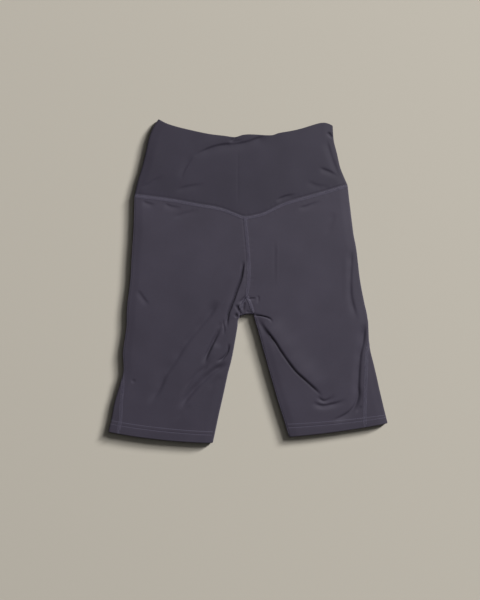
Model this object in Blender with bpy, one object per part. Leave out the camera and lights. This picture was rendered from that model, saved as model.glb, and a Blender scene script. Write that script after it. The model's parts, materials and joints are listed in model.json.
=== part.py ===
"""Cycling shorts laid flat on a surface: two waistband panels, four leg panels and a gusset.

Tables and sizes are in millimetres and are turned into metres where a vertex is placed. X runs
across the waist, Y runs from the hems up to the waistband and Z runs up from the surface. The
origin is the middle of the rectangle round the laid shorts, on that surface. Each tube of cloth
is laid flat: it has an upper and an under panel and turns over at a folded edge of a small radius.
"""

import math
from collections.abc import Callable
from dataclasses import dataclass

import bmesh
import bpy

Row = tuple[float, ...]
Point = tuple[float, float, float]

MM = 0.001

# Cloth
LEG_CLOTH = 1.2  # one ply of stretch knit
BAND_CLOTH = 2.0  # two plies, folded along the top edge
HEM_CLOTH = 2.0  # the hem is turned up once, to the inside
SEAM_GAP = 0.3
EDGE_RADIUS = 2.6  # outer radius of a folded edge, so the laid tube is twice this high
LIFT = 1.0  # how far the upper panels stand above the folded edges
LIFT_REACH = 16.0  # distance from a folded edge over which that lift and the folds grow
PLAN_MIDDLE = (-0.2, 0.15)  # middle of the whole outline in the tables' own plan
BAND_COLOUR = (0.045, 0.040, 0.055)
LEG_COLOUR = (0.054, 0.047, 0.065)
KNIT_ROUGHNESS = 0.72

# Mesh
UPPER_CELL = 10.5
UNDER_CELL = 15.0
LOWER_LEG_CELL = 10.5  # rows below the crotch, the same for both panels, which meet at the side seam
EDGE_ROWS = 3  # cells round a quarter turn of a folded edge
WRAP_ROWS = 3  # cells between a side seam on the upper face and the folded edge
GUSSET_ROWS = 6  # rows from the crotch to the gusset's point
GUSSET_COLUMNS = 4
HEM_STEP = 1.5  # length over which the leg's wall thickens to the hem's

# Waistband: its two folded edges from the top edge down to the yoke seam.
BAND_SIDES = (
    # station, left x, left y, right x, right y
    (0.0, -143.4, 259.5, 135.8, 249.1),
    (12.0, -152.0, 246.7, 136.5, 235.2),
    (30.0, -159.4, 227.0, 138.0, 222.4),
    (53.0, -164.2, 205.0, 142.6, 204.6),
    (76.0, -170.4, 180.5, 147.8, 182.1),
    (97.0, -176.5, 161.0, 155.4, 163.2),
    (115.0, -181.9, 137.8, 159.5, 154.1),
)
TOP_EDGE = (
    # x, y
    (-143.4, 259.5),
    (-131.2, 252.8),
    (-118.9, 248.5),
    (-100.6, 243.7),
    (-63.8, 235.7),
    (-39.4, 232.6),
    (-20.6, 230.4),
    (-8.5, 233.8),
    (3.8, 234.7),
    (37.8, 233.4),
    (49.1, 236.8),
    (69.9, 240.5),
    (85.8, 244.2),
    (104.0, 249.8),
    (116.0, 253.0),
    (125.3, 253.0),
    (135.8, 249.1),
)
YOKE_SEAM_UPPER = (
    # x, y
    (-181.9, 137.8),
    (-124.6, 130.4),
    (-76.6, 121.6),
    (-52.6, 117.8),
    (-35.0, 112.8),
    (-19.0, 106.4),
    (-5.0, 101.9),
    (11.4, 104.6),
    (22.6, 107.5),
    (33.8, 112.5),
    (47.4, 119.5),
    (59.4, 124.8),
    (75.4, 129.6),
    (115.4, 140.8),
    (159.5, 154.1),
)
YOKE_SEAM_UNDER = (
    # x, y
    (-181.9, 137.8),
    (-100.0, 130.0),
    (-5.0, 126.0),
    (85.0, 135.0),
    (159.5, 154.1),
)

# Legs: a row gives the outer folded edge, the inner edge, how far the inner edge is rolled down to
# the inseam, and how far the side seam lies in from the outer edge on the upper face.
LEFT_LEG = (
    # outer y, outer x, inner x, inner y, roll, side seam
    (137.8, -181.9, -5.0, 101.9, 0.0, 0.0),
    (86.7, -183.2, -0.6, 65.6, 0.0, 0.0),
    (36.8, -186.4, 0.8, 30.4, 0.0, 0.0),
    (1.0, -188.5, 0.2, 1.6, 0.0, 0.0),
    (-39.0, -193.4, -2.2, -24.0, 0.0, 0.0),
    (-56.0, -194.2, -9.8, -35.4, 0.1, 0.0),
    (-70.4, -194.2, -12.6, -56.2, 1.0, 0.0),
    (-76.6, -194.9, -15.4, -60.4, 1.0, 0.0),
    (-84.0, -195.9, -16.6, -66.0, 1.0, 0.0),
    (-90.9, -197.1, -16.8, -71.8, 1.0, 0.0),
    (-114.6, -200.3, -21.6, -100.3, 1.0, 0.0),
    (-130.4, -199.5, -26.4, -125.6, 1.0, 0.0),
    (-146.2, -199.5, -31.8, -146.2, 1.0, 0.0),
    (-169.9, -206.7, -39.0, -179.5, 1.0, 7.6),
    (-196.8, -214.6, -46.9, -214.2, 1.0, 13.0),
    (-219.0, -218.6, -51.7, -237.0, 1.0, 16.5),
    (-241.3, -224.0, -56.5, -259.2, 1.0, 17.4),
)
RIGHT_LEG = (
    # outer y, outer x, inner x, inner y, roll, side seam
    (154.1, 159.5, -4.6, 101.9, 0.0, 0.0),
    (114.4, 163.7, -0.4, 72.0, 0.0, 0.0),
    (81.6, 167.7, 1.0, 46.4, 0.0, 0.0),
    (51.5, 173.4, 1.6, 24.0, 0.0, 0.0),
    (1.3, 179.5, 0.2, -4.8, 0.0, 0.0),
    (-35.2, 186.4, -1.4, -24.0, 0.0, 0.0),
    (-49.6, 189.8, 3.7, -36.8, 0.1, 0.0),
    (-66.4, 192.5, 8.6, -53.4, 1.0, 0.0),
    (-95.4, 193.9, 16.2, -79.2, 1.0, 1.0),
    (-113.6, 196.6, 22.6, -102.9, 1.0, 7.5),
    (-128.3, 200.3, 29.8, -128.0, 1.0, 12.0),
    (-151.2, 205.8, 37.8, -156.8, 1.0, 18.4),
    (-173.4, 210.7, 47.7, -190.7, 1.0, 24.5),
    (-209.9, 219.4, 58.1, -223.7, 1.0, 34.5),
    (-227.5, 223.8, 65.9, -249.4, 1.0, 38.5),
)
# Above the gusset both legs end at the centre seam, which has this x at each y.
CENTRE_SEAM_UPPER = (
    # y, x
    (101.9, -5.0),
    (65.6, -1.3),
    (30.4, 1.2),
    (1.6, 1.2),
    (-14.0, -1.0),
    (-24.0, -2.2),
)
CENTRE_SEAM_UNDER = (
    # y, x
    (126.0, -5.0),
    (60.0, -2.0),
    (-10.0, -1.0),
)
# The under panels' inner edges above the crotch.
LEFT_UNDER_INNER = (
    # outer y, inner x, inner y
    (137.8, -5.0, 126.0),
    (60.0, -2.0, 60.0),
    (-18.0, -1.0, -10.0),
    (-44.0, -9.0, -31.0),
)
RIGHT_UNDER_INNER = (
    # outer y, inner x, inner y
    (154.1, -5.0, 126.0),
    (70.0, -2.0, 60.0),
    (-13.0, -1.0, -10.0),
    (-40.0, 4.0, -31.0),
)
CROTCH_BOW = 1.6  # how far the gusset's folded edge bows up between the legs
GUSSET_TIP = 0.9  # share of the gusset's length that is wide enough to cut
GUSSET_GAP = 0.45  # measured across the shorts, to leave the seam gap beside its slanted sides
YOKE_FADE = 1.6  # a leg's rows lose the yoke seam's shape over its length divided by this
FOLD_FADE = 4.0  # a fold rises to its full height over its length divided by this
FOLD_START = 0.2  # share of that rise it has already made at its very end
FOLD_REACH = 3.0  # widths from its path at which a fold stops


@dataclass(frozen=True)
class Leg:
    """One leg: its sections, its hem, and where along its outer edge the gusset begins and ends.

    The hem's bow is how far it swells out below the line between its ends. The crotch, the apex
    and the under apex are the outer y of the sections at the crotch and at the gusset's two points.
    """

    sections: tuple[Row, ...]
    under_inner: tuple[Row, ...]
    hem_bow: float
    hem_depth: float
    crotch: float
    apex: float
    under_apex: float


LEFT = Leg(
    sections=LEFT_LEG,
    under_inner=LEFT_UNDER_INNER,
    hem_bow=3.6,
    hem_depth=19.0,
    crotch=-70.4,
    apex=-39.0,
    under_apex=-18.0,
)
RIGHT = Leg(
    sections=RIGHT_LEG,
    under_inner=RIGHT_UNDER_INNER,
    hem_bow=2.2,
    hem_depth=14.2,
    crotch=-66.4,
    apex=-35.2,
    under_apex=-13.0,
)


@dataclass(frozen=True)
class Fold:
    """A soft trough (negative height) or ridge in the upper cloth along a short path."""

    path: tuple[tuple[float, float], ...]
    height: float
    width: float


FOLDS = (
    Fold(((25.0, 231.0), (-40.0, 217.0), (-82.0, 203.0), (-107.0, 162.0)), -1.2, 9.0),
    Fold(((-115.0, 238.0), (-100.0, 205.0), (-122.0, 175.0)), 1.0, 14.0),
    Fold(((-7.0, 30.0), (-10.8, 1.6), (-22.3, -31.2), (-33.4, -74.0)), -2.6, 8.5),
    Fold(((-22.0, 22.0), (-34.0, -20.0), (-50.0, -66.0)), 1.6, 10.0),
    Fold(((-38.0, -128.0), (-61.0, -142.0), (-78.0, -157.0)), 2.4, 8.0),
    Fold(((-38.0, -142.0), (-64.0, -160.0), (-89.0, -182.0)), -1.6, 8.0),
    Fold(((-74.0, -66.0), (-112.0, -121.0), (-147.0, -178.0)), -1.6, 11.0),
    Fold(((19.7, -66.6), (42.2, -98.5), (62.1, -129.0), (88.6, -158.2), (121.0, -187.4)), -2.8, 8.5),
    Fold(((34.0, -60.0), (68.0, -108.0), (98.0, -143.0), (128.0, -166.0)), 1.8, 11.0),
    Fold(((112.0, -200.0), (126.0, -205.0), (150.0, -197.0)), 2.6, 9.0),
    Fold(((187.0, -88.0), (180.0, -150.0), (172.0, -190.0), (141.0, -220.0)), -1.6, 9.0),
    Fold(((47.0, 62.0), (46.0, -8.0)), 0.8, 10.0),
)


def hermite(rows: tuple[Row, ...], at: float) -> Row:
    """Reads a table at one value of its first column, along a smooth curve through its rows.

    Args:
        rows: The table, with its first column rising or falling throughout.
        at: The value of the first column; beyond the ends it is held.

    Returns:
        The other columns at that value.
    """
    rising = rows[-1][0] > rows[0][0]
    keys = [row[0] if rising else -row[0] for row in rows]
    key = min(max(at if rising else -at, keys[0]), keys[-1])
    low = max(i for i in range(len(rows) - 1) if keys[i] <= key)
    span = keys[low + 1] - keys[low]
    part = (key - keys[low]) / span

    def slope(index: int, column: int) -> float:
        """Slope of one column at one row, from the rows on each side of it."""
        before, after = max(index - 1, 0), min(index + 1, len(rows) - 1)
        rise = rows[after][column] - rows[before][column]
        return rise / (keys[after] - keys[before])

    values = []
    for column in range(1, len(rows[0])):
        start, end = rows[low][column], rows[low + 1][column]
        leave, arrive = slope(low, column) * span, slope(low + 1, column) * span
        square, cube = part * part, part * part * part
        values.append(
            (2 * cube - 3 * square + 1) * start
            + (cube - 2 * square + part) * leave
            + (3 * square - 2 * cube) * end
            + (cube - square) * arrive
        )
    return tuple(values)


def ease(value: float) -> float:
    """A smooth step from 0 to 1 as the value goes from 0 to 1."""
    held = min(max(value, 0.0), 1.0)
    return held * held * (3 - 2 * held)


def arch(share: float) -> float:
    """A bow over a line that is 0 at the line's ends and 1 halfway."""
    return 4 * share * (1 - share)


def along_path(path: tuple[tuple[float, float], ...], x: float, y: float) -> tuple[float, float]:
    """Distance from a path, and how far along it the nearest point lies.

    Args:
        path: The path's points.
        x: Place across the shorts.
        y: Place along the shorts.

    Returns:
        The distance, and the share of the path's length passed at the nearest point.
    """
    lengths = [math.dist(a, b) for a, b in zip(path, path[1:])]
    total, passed = sum(lengths), 0.0
    nearest = (math.inf, 0.0)
    for (ax, ay), (bx, by), length in zip(path, path[1:], lengths):
        share = ((x - ax) * (bx - ax) + (y - ay) * (by - ay)) / (length * length)
        share = min(max(share, 0.0), 1.0)
        away = math.hypot(ax + share * (bx - ax) - x, ay + share * (by - ay) - y)
        nearest = min(nearest, (away, (passed + share * length) / total))
        passed += length
    return nearest


def relief(x: float, y: float) -> float:
    """Height of the lift and the folds over a plain flat upper panel, in millimetres."""
    height = LIFT
    for fold in FOLDS:
        away, passed = along_path(fold.path, x, y)
        if away < FOLD_REACH * fold.width:
            begun = ease(FOLD_START + FOLD_FADE * passed)
            unfinished = ease(FOLD_START + FOLD_FADE * (1 - passed))
            height += fold.height * begun * unfinished * math.exp(-((away / fold.width) ** 2))
    return height


def turn(arc: float, share: float) -> tuple[float, float, float]:
    """Follows the cloth's outer face from the seam at a folded edge on to the flat.

    Args:
        arc: Distance along the cloth from the end of the turn.
        share: How much of the quarter turn there is, from 0 for none to 1.

    Returns:
        The distance in from the edge, the drop from the flat, and the angle turned.
    """
    most = share * math.pi / 2
    left = max(most - arc / EDGE_RADIUS, 0.0)
    flat = max(arc - most * EDGE_RADIUS, 0.0)
    reach = EDGE_RADIUS * (math.sin(most) - math.sin(left)) + flat
    return reach, EDGE_RADIUS * (1 - math.cos(left)), left


@dataclass(frozen=True)
class Tube:
    """A stretch of the shorts that is a tube laid flat, from one edge to the other.

    The start is the folded edge where the arc is measured from, and the end is the other edge.
    """

    edges: Callable[[float], tuple[float, float, float, float]]
    bow: Callable[[float, float, float], float]
    roll: Callable[[float], float]
    first: float
    last: float

    def width(self, station: float) -> float:
        """Distance between the two edges at a station."""
        ax, ay, bx, by = self.edges(station)
        return math.hypot(bx - ax, by - ay)

    def whole_arc(self, station: float) -> float:
        """Length of the outer face from the middle of the folded edge to the other edge."""
        most = self.roll(station) * math.pi / 2
        flat = self.width(station) - EDGE_RADIUS * (1 + math.sin(most))
        return flat + EDGE_RADIUS * (math.pi / 2 + most)

    def place(self, arc: float, station: float, depth: float) -> Point:
        """Finds a point in the cloth.

        Args:
            arc: Distance from the folded edge, positive over the upper face and negative under.
            station: Where the row lies along the tube.
            depth: Distance in from the outer face.

        Returns:
            The point, in millimetres.
        """
        ax, ay, bx, by = self.edges(station)
        width, whole = self.width(station), self.whole_arc(station)
        walked = abs(arc)
        if walked < whole / 2:
            reach, drop, angle = turn(walked, 1.0)
            inward = reach + depth * math.sin(angle)
        else:
            reach, drop, angle = turn(whole - walked, self.roll(station))
            inward = width - reach - depth * math.sin(angle)
        share = inward / width
        x, y = ax + share * (bx - ax), ay + share * (by - ay)
        y += self.bow(share, station, x)
        if arc < 0:
            return x, y, drop + depth * math.cos(angle)
        near = ease(reach / LIFT_REACH) if walked < whole / 2 else 1.0
        if walked >= whole / 2:
            near = 1 - self.roll(station) * (1 - ease(reach / LIFT_REACH))
        top = 2 * EDGE_RADIUS - drop + near * relief(x, y)
        return x, y, top - depth * math.cos(angle)


def band_tube(bottom: tuple[Row, ...]) -> Tube:
    """The waistband, from its left folded edge to its right one.

    Args:
        bottom: The table of the yoke seam that it ends at.

    Returns:
        The tube.
    """
    last = BAND_SIDES[-1][0]

    def edges(station: float) -> tuple[float, float, float, float]:
        """Left and right edge at a station."""
        return hermite(BAND_SIDES, station)

    def straight(table: tuple[Row, ...], x: float) -> float:
        """Height of the line between the ends of a table."""
        (ax, ay), (bx, by) = table[0], table[-1]
        return ay + (x - ax) / (bx - ax) * (by - ay)

    def bow(share: float, station: float, x: float) -> float:
        """How far a row leaves the line between its ends, from the top edge and the seam."""
        down = station / last
        held = min(max(share, 0.0), 1.0)
        top_x = TOP_EDGE[0][0] + held * (TOP_EDGE[-1][0] - TOP_EDGE[0][0])
        seam_x = bottom[0][0] + held * (bottom[-1][0] - bottom[0][0])
        top = hermite(TOP_EDGE, top_x)[0] - straight(TOP_EDGE, top_x)
        seam = hermite(bottom, seam_x)[0] - straight(bottom, seam_x)
        return (1 - ease(down)) * top + ease(down) * seam

    return Tube(edges, bow, lambda station: 1.0, 0.0, last)


def under_sections(leg: Leg) -> tuple[Row, ...]:
    """The sections of an under panel.

    Args:
        leg: The leg.

    Returns:
        The under panel's own inner edge above the crotch, and the leg's sections below it.
    """
    above = []
    for outer_y, inner_x, inner_y in leg.under_inner:
        outer_x = hermite(leg.sections, outer_y)[0]
        above.append((outer_y, outer_x, inner_x, inner_y, 0.0, 0.0))
    return tuple(above) + tuple(row for row in leg.sections if row[0] <= leg.crotch)


def leg_tube(leg: Leg, upper: bool) -> Tube:
    """A leg, from its outer folded edge to its inner edge.

    Args:
        leg: The leg.
        upper: Whether its inner edge and its yoke seam are those of the upper side.

    Returns:
        The tube, with stations that fall from the seam to the hem.
    """
    table = leg.sections if upper else under_sections(leg)
    seam = YOKE_SEAM_UPPER if upper else YOKE_SEAM_UNDER
    centre = CENTRE_SEAM_UPPER if upper else CENTRE_SEAM_UNDER
    first, last = table[0][0], table[-1][0]

    def edges(station: float) -> tuple[float, float, float, float]:
        """Outer and inner edge at a station."""
        outer_x, inner_x, inner_y = hermite(table, station)[:3]
        if inner_y > centre[-1][0]:
            inner_x = hermite(centre, inner_y)[0]
        return outer_x, station, inner_x, inner_y

    def bow(share: float, station: float, x: float) -> float:
        """How far a row leaves the line between its ends, from the yoke seam and the hem."""
        down = (first - station) / (first - last)
        held = min(max(share, 0.0), 1.0)
        ax, ay, bx, by = edges(first)
        seam_x = ax + held * (bx - ax)
        top = hermite(seam, seam_x)[0] - (ay + held * (by - ay))
        return (1 - ease(YOKE_FADE * down)) * top - down**3 * leg.hem_bow * arch(held)

    def roll(station: float) -> float:
        """Share of a quarter turn at the inner edge."""
        return ease(hermite(table, station)[3])

    return Tube(edges, bow, roll, first, last)


def in_metres(point: Point) -> Point:
    """A point of the tables' plan, moved to the origin and turned into metres."""
    x, y, z = point
    return MM * (x - PLAN_MIDDLE[0]), MM * (y - PLAN_MIDDLE[1]), MM * z


def shell(
    name: str, across: int, along: int, place: Callable[[int, int, bool], Point]
) -> bpy.types.Object:
    """Makes a closed wall of cloth from a grid that is extruded once and then moved into shape.

    Args:
        name: The object's name.
        across: Cells across the panel.
        along: Cells along the panel.
        place: Gives the point for a column, a row and whether it is on the inner face.

    Returns:
        The object.
    """
    mesh = bpy.data.meshes.new(name)
    bm = bmesh.new()
    bmesh.ops.create_grid(bm, x_segments=across, y_segments=along, size=0.5)
    outer = list(bm.verts)
    indices = [(round((v.co.x + 0.5) * across), round((v.co.y + 0.5) * along)) for v in outer]
    grown = bmesh.ops.extrude_face_region(bm, geom=bm.faces[:], use_keep_orig=True)
    inner = [item for item in grown["geom"] if isinstance(item, bmesh.types.BMVert)]
    for vert in inner:
        column, row = round((vert.co.x + 0.5) * across), round((vert.co.y + 0.5) * along)
        vert.co = in_metres(place(column, row, True))
    for vert, (column, row) in zip(outer, indices):
        vert.co = in_metres(place(column, row, False))
    bmesh.ops.recalc_face_normals(bm, faces=bm.faces[:])
    if bm.calc_volume(signed=True) < 0:
        bmesh.ops.reverse_faces(bm, faces=bm.faces[:])
    bm.to_mesh(mesh)
    bm.free()
    return bpy.data.objects.new(name, mesh)


def steps(start: float, end: float, cell: float) -> list[float]:
    """Evenly spaced values from start to end, both included, about one cell apart."""
    count = max(round(abs(end - start) / cell), 1)
    return [start + (end - start) * i / count for i in range(count + 1)]


def columns(start: float, end: float, count: int) -> list[float]:
    """Values from start to end with closer ones over the quarter turn at each end.

    Args:
        start: The first value.
        end: The last value.
        count: Cells between the two turns.

    Returns:
        The values, evenly spaced apart from the turns.
    """
    quarter = EDGE_RADIUS * math.pi / 2
    sign = 1.0 if end > start else -1.0
    turned = [sign * quarter * i / EDGE_ROWS for i in range(EDGE_ROWS + 1)]
    middle = [start + turned[-1] + (end - start - 2 * turned[-1]) * i / count for i in range(1, count)]
    return [start + value for value in turned] + middle + [end - value for value in reversed(turned)]


def wrapped_columns(seam: float, end: float, count: int) -> list[float]:
    """Values from a side seam round the folded edge and on under the leg.

    Args:
        seam: Arc of the side seam, on the upper face.
        end: Arc of the inner seam, under the leg.
        count: Cells between the two turns.

    Returns:
        The values, with close ones all round the folded edge wherever the seam lies.
    """
    quarter = EDGE_RADIUS * math.pi / 2
    on_top = max(seam - quarter, (seam + quarter) / 3)
    turned = seam + quarter - on_top
    values = [seam - on_top * i / WRAP_ROWS for i in range(WRAP_ROWS)]
    values += [turned - quarter - turned * i / (2 * EDGE_ROWS) for i in range(2 * EDGE_ROWS)]
    return values + columns(0.0, end, count)[EDGE_ROWS:]


def leg_rows(leg: Leg, tube: Tube, upper: bool) -> list[float]:
    """Stations of a leg panel, with the gusset's rows and two close ones at the hem's top.

    Args:
        leg: The leg.
        tube: The leg's tube on that side.
        upper: Whether it is the upper panel.

    Returns:
        The stations, from the yoke seam to the hem.
    """
    apex = leg.apex if upper else leg.under_apex
    hem_top = tube.last + leg.hem_depth
    rows = steps(tube.first, apex, UPPER_CELL if upper else UNDER_CELL)
    rows += steps(apex, leg.crotch, abs(leg.crotch - apex) / GUSSET_ROWS)[1:]
    rows += steps(leg.crotch, hem_top + HEM_STEP, LOWER_LEG_CELL)[1:]
    return rows + [hem_top] + steps(hem_top, tube.last, LOWER_LEG_CELL)[1:]


def leg_panel(name: str, leg: Leg, upper: bool) -> bpy.types.Object:
    """Makes the upper or under panel of a leg.

    Args:
        name: The object's name.
        leg: The leg.
        upper: Whether it is the upper panel.

    Returns:
        The object.
    """
    tube = leg_tube(leg, upper)
    rows = leg_rows(leg, tube, upper)
    count = round(tube.width(leg.crotch) / (UPPER_CELL if upper else UNDER_CELL))
    half = SEAM_GAP / 2
    hem_top = tube.last + leg.hem_depth

    def place(column: int, row: int, inside: bool) -> Point:
        """Point of one column and row of the panel."""
        station = rows[row]
        seam = hermite(leg.sections, station)[4]
        whole = tube.whole_arc(station)
        if upper:
            arcs = columns(seam + half, whole - half, count)
        else:
            arcs = wrapped_columns(seam - half, -whole + half, count)
        cloth = HEM_CLOTH if station <= hem_top else LEG_CLOTH
        x, y, z = tube.place(arcs[column], station, cloth if inside else 0.0)
        return x, y - (half if row == 0 else 0.0), z

    across = count + 2 * EDGE_ROWS + (0 if upper else EDGE_ROWS + WRAP_ROWS)
    return shell(name, across, len(rows) - 1, place)


def band_panel(name: str, tube: Tube, upper: bool) -> bpy.types.Object:
    """Makes the upper or under half of the waistband."""
    cell = UPPER_CELL if upper else UNDER_CELL
    rows = steps(tube.first, tube.last, cell)
    count = round(tube.width(tube.last) / cell)
    half = SEAM_GAP / 2

    def place(column: int, row: int, inside: bool) -> Point:
        """Point of one column and row of the band."""
        station = rows[row]
        whole = tube.whole_arc(station)
        arcs = columns(half, whole - half, count)
        arc = arcs[column] if upper else -arcs[column]
        x, y, z = tube.place(arc, station, BAND_CLOTH if inside else 0.0)
        return x, y + (half if row == len(rows) - 1 else 0.0), z

    return shell(name, count + 2 * EDGE_ROWS, len(rows) - 1, place)


def gusset(name: str) -> bpy.types.Object:
    """Makes the crotch gusset, which folds over between the legs from the upper to the under side.

    Args:
        name: The object's name.

    Returns:
        The object.
    """
    upper = (leg_tube(LEFT, True), leg_tube(RIGHT, True))
    under = (leg_tube(LEFT, False), leg_tube(RIGHT, False))
    quarter = EDGE_RADIUS * math.pi / 2
    crotch = upper[0].edges(LEFT.crotch)[2:]
    long_upper = math.dist(crotch, upper[0].edges(LEFT.apex)[2:])
    long_under = math.dist(crotch, under[0].edges(LEFT.under_apex)[2:])

    def side_arcs(length: float) -> list[float]:
        """Arcs from the middle of the fold to near the gusset's point."""
        turned = [quarter * i / EDGE_ROWS for i in range(EDGE_ROWS + 1)]
        shares = [i / GUSSET_ROWS for i in range(1, GUSSET_ROWS)] + [GUSSET_TIP]
        return turned + [quarter + share * length - EDGE_RADIUS for share in shares]

    arcs = list(reversed(side_arcs(long_upper))) + [-a for a in side_arcs(long_under)[1:]]

    def place(column: int, row: int, inside: bool) -> Point:
        """Point of one column and row of the gusset."""
        arc = arcs[row]
        depth = LEG_CLOTH if inside else 0.0
        reach, drop, angle = turn(abs(arc), 1.0)
        inward = reach + depth * math.sin(angle)
        tubes, length = (upper, long_upper) if arc >= 0 else (under, long_under)
        left_apex, right_apex = (
            (LEFT.apex, RIGHT.apex) if arc >= 0 else (LEFT.under_apex, RIGHT.under_apex)
        )
        share = min(inward / length, 1.0)
        left_at = LEFT.crotch + share * (left_apex - LEFT.crotch)
        right_at = RIGHT.crotch + share * (right_apex - RIGHT.crotch)
        left_x, left_y = tubes[0].edges(left_at)[2:]
        right_x, right_y = tubes[1].edges(right_at)[2:]
        left_x, right_x = left_x + GUSSET_GAP, right_x - GUSSET_GAP
        side = column / GUSSET_COLUMNS
        x = left_x + side * (right_x - left_x)
        y = left_y + side * (right_y - left_y)
        y += CROTCH_BOW * arch(side) * (1 - share)
        if arc < 0:
            return x, y, drop + depth * math.cos(angle)
        lift = ease(reach / LIFT_REACH) * relief(x, y)
        return x, y, 2 * EDGE_RADIUS - drop + lift - depth * math.cos(angle)

    return shell(name, GUSSET_COLUMNS, len(arcs) - 1, place)


def knit(name: str, colour: tuple[float, float, float]) -> bpy.types.Material:
    """A matt knitted cloth of one colour.

    Args:
        name: The material's name.
        colour: Its red, green and blue.

    Returns:
        The material.
    """
    material = bpy.data.materials.new(name)
    material.use_nodes = True
    surface = material.node_tree.nodes["Principled BSDF"]
    surface.inputs["Base Color"].default_value = (*colour, 1.0)
    surface.inputs["Roughness"].default_value = KNIT_ROUGHNESS
    surface.inputs["Metallic"].default_value = 0.0
    return material


def main() -> None:
    """Clears the scene and builds the shorts."""
    for obj in list(bpy.data.objects):
        bpy.data.objects.remove(obj)
    shorts = bpy.data.collections.new("cycling_shorts")
    bpy.context.scene.collection.children.link(shorts)

    band_cloth = knit("band_cloth", BAND_COLOUR)
    leg_cloth = knit("leg_cloth", LEG_COLOUR)
    pieces = (
        (band_panel("waistband_upper", band_tube(YOKE_SEAM_UPPER), True), band_cloth),
        (band_panel("waistband_under", band_tube(YOKE_SEAM_UNDER), False), band_cloth),
        (leg_panel("left_leg_upper", LEFT, True), leg_cloth),
        (leg_panel("right_leg_upper", RIGHT, True), leg_cloth),
        (leg_panel("left_leg_under", LEFT, False), leg_cloth),
        (leg_panel("right_leg_under", RIGHT, False), leg_cloth),
        (gusset("gusset"), leg_cloth),
    )
    for obj, cloth in pieces:
        obj.data.materials.append(cloth)
        shorts.objects.link(obj)


if __name__ == "__main__":
    main()
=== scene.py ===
"""Cycling shorts laid flat: the looks of every panel, seam and stitch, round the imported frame.

Tables and sizes of the garment are in millimetres, in the same plan as the solids: X across the
waist, Y up to the waistband, Z up from the floor. Points become metres where a mesh is made. Each
tube of cloth is laid flat and turns over at a folded edge. A point on it is given by its arc from
that edge, positive over the upper face and negative under it, and by a station along the tube.
"""

import json
import logging
import math
from collections.abc import Callable, Sequence
from dataclasses import dataclass, field
from enum import Enum

import bmesh
import bpy
import numpy as np
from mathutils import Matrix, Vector

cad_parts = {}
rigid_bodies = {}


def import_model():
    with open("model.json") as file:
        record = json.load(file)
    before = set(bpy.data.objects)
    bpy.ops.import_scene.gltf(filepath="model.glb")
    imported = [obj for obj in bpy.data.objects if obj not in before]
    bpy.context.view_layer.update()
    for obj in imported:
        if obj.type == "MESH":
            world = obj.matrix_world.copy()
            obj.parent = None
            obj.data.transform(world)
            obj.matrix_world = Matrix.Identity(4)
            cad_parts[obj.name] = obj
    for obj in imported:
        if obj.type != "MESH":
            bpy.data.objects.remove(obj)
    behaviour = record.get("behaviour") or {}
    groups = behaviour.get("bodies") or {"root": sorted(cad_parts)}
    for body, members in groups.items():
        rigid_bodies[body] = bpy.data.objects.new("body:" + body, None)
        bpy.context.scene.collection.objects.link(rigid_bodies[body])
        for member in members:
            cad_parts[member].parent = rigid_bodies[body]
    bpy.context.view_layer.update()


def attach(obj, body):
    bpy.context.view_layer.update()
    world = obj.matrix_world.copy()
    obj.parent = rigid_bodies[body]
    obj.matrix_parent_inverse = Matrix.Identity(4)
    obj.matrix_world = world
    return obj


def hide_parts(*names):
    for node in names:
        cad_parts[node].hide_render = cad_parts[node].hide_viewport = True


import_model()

BODY = "root"
MM = 0.001
TINY = 1e-6

Array = np.ndarray
Row = tuple[float, ...]
Path = tuple[tuple[float, float], ...]

Across = Callable[[Array, Array], Array]

LOG = logging.getLogger("cycling_shorts")


class Side(Enum):
    """Which leg, as the photo shows it."""

    LEFT = "left"
    RIGHT = "right"


class Face(Enum):
    """Which layer of the laid garment."""

    UPPER = "upper"
    UNDER = "under"

    def outward(self) -> float:
        """1 where the outer face looks up, and -1 where it looks down."""
        return 1.0 if self is Face.UPPER else -1.0


@dataclass(frozen=True)
class Cloth:
    """Walls and edges of the cloth.

    Over the hem step the wall thickens from the leg's to the hem's. The lift is how far the upper
    panels stand above the folded edges, and the two reaches are the distances from such an edge over
    which the lift and the folds grow. The clearance keeps the upper panels off the under ones. The
    edge rows are the distances from an edge of cloth at which it has extra rows.
    """

    leg: float = 1.2
    band: float = 2.0
    hem: float = 2.0
    hem_step: float = 1.5
    seam_gap: float = 0.14
    seam_round: float = 0.3
    edge_radius: float = 2.6
    lift: float = 1.0
    lift_reach: float = 16.0
    fold_reach: float = 6.0
    clearance: float = 0.3
    edge_rows: tuple[float, ...] = (0.0, 0.12, 0.35, 0.7, 1.1, 1.8)


CLOTH = Cloth()
PLAN_MIDDLE = (-0.2, 0.15)  # middle of the whole outline in the tables' own plan
SOFT_LIMIT = 0.15  # how soft the bend is where a limit on the height begins, in square millimetres
YOKE_FADE = 1.6  # a leg's rows lose the yoke seam's shape over its length divided by this

UNDER_CHANNEL = 0.62  # how far the under face is drawn up along its seams
CHANNEL_WIDTH = 4.6
STITCH_CHANNEL_WIDTH = 1.3

FOLD_REACH = 3.0  # widths from its path at which a fold stops
GATHER_REACH = 2.2  # widths from its path over which the cloth is drawn in
FADE_IN = (0.3, 20.0)  # the most of a fold's length, and the distance, over which it begins
FADE_OUT = (0.45, 30.0)  # the same where it ends
UNEVEN = 0.14  # share by which a fold's height wanders along its path
UNEVEN_LENGTHS = (6.3, 14.0)  # distances in which its two waves turn by one radian

HEM_SWELL = 0.3  # how far the turned hem stands out more than the leg
HEM_PAST = 1.5  # how far past the turned hem's upper edge the swell starts
HEM_RISE = 2.5  # distance over which it rises
STITCH_SINK = 0.25  # how deep the hem's stitches sink in
STITCH_SINK_WIDTH = 0.9

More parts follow.
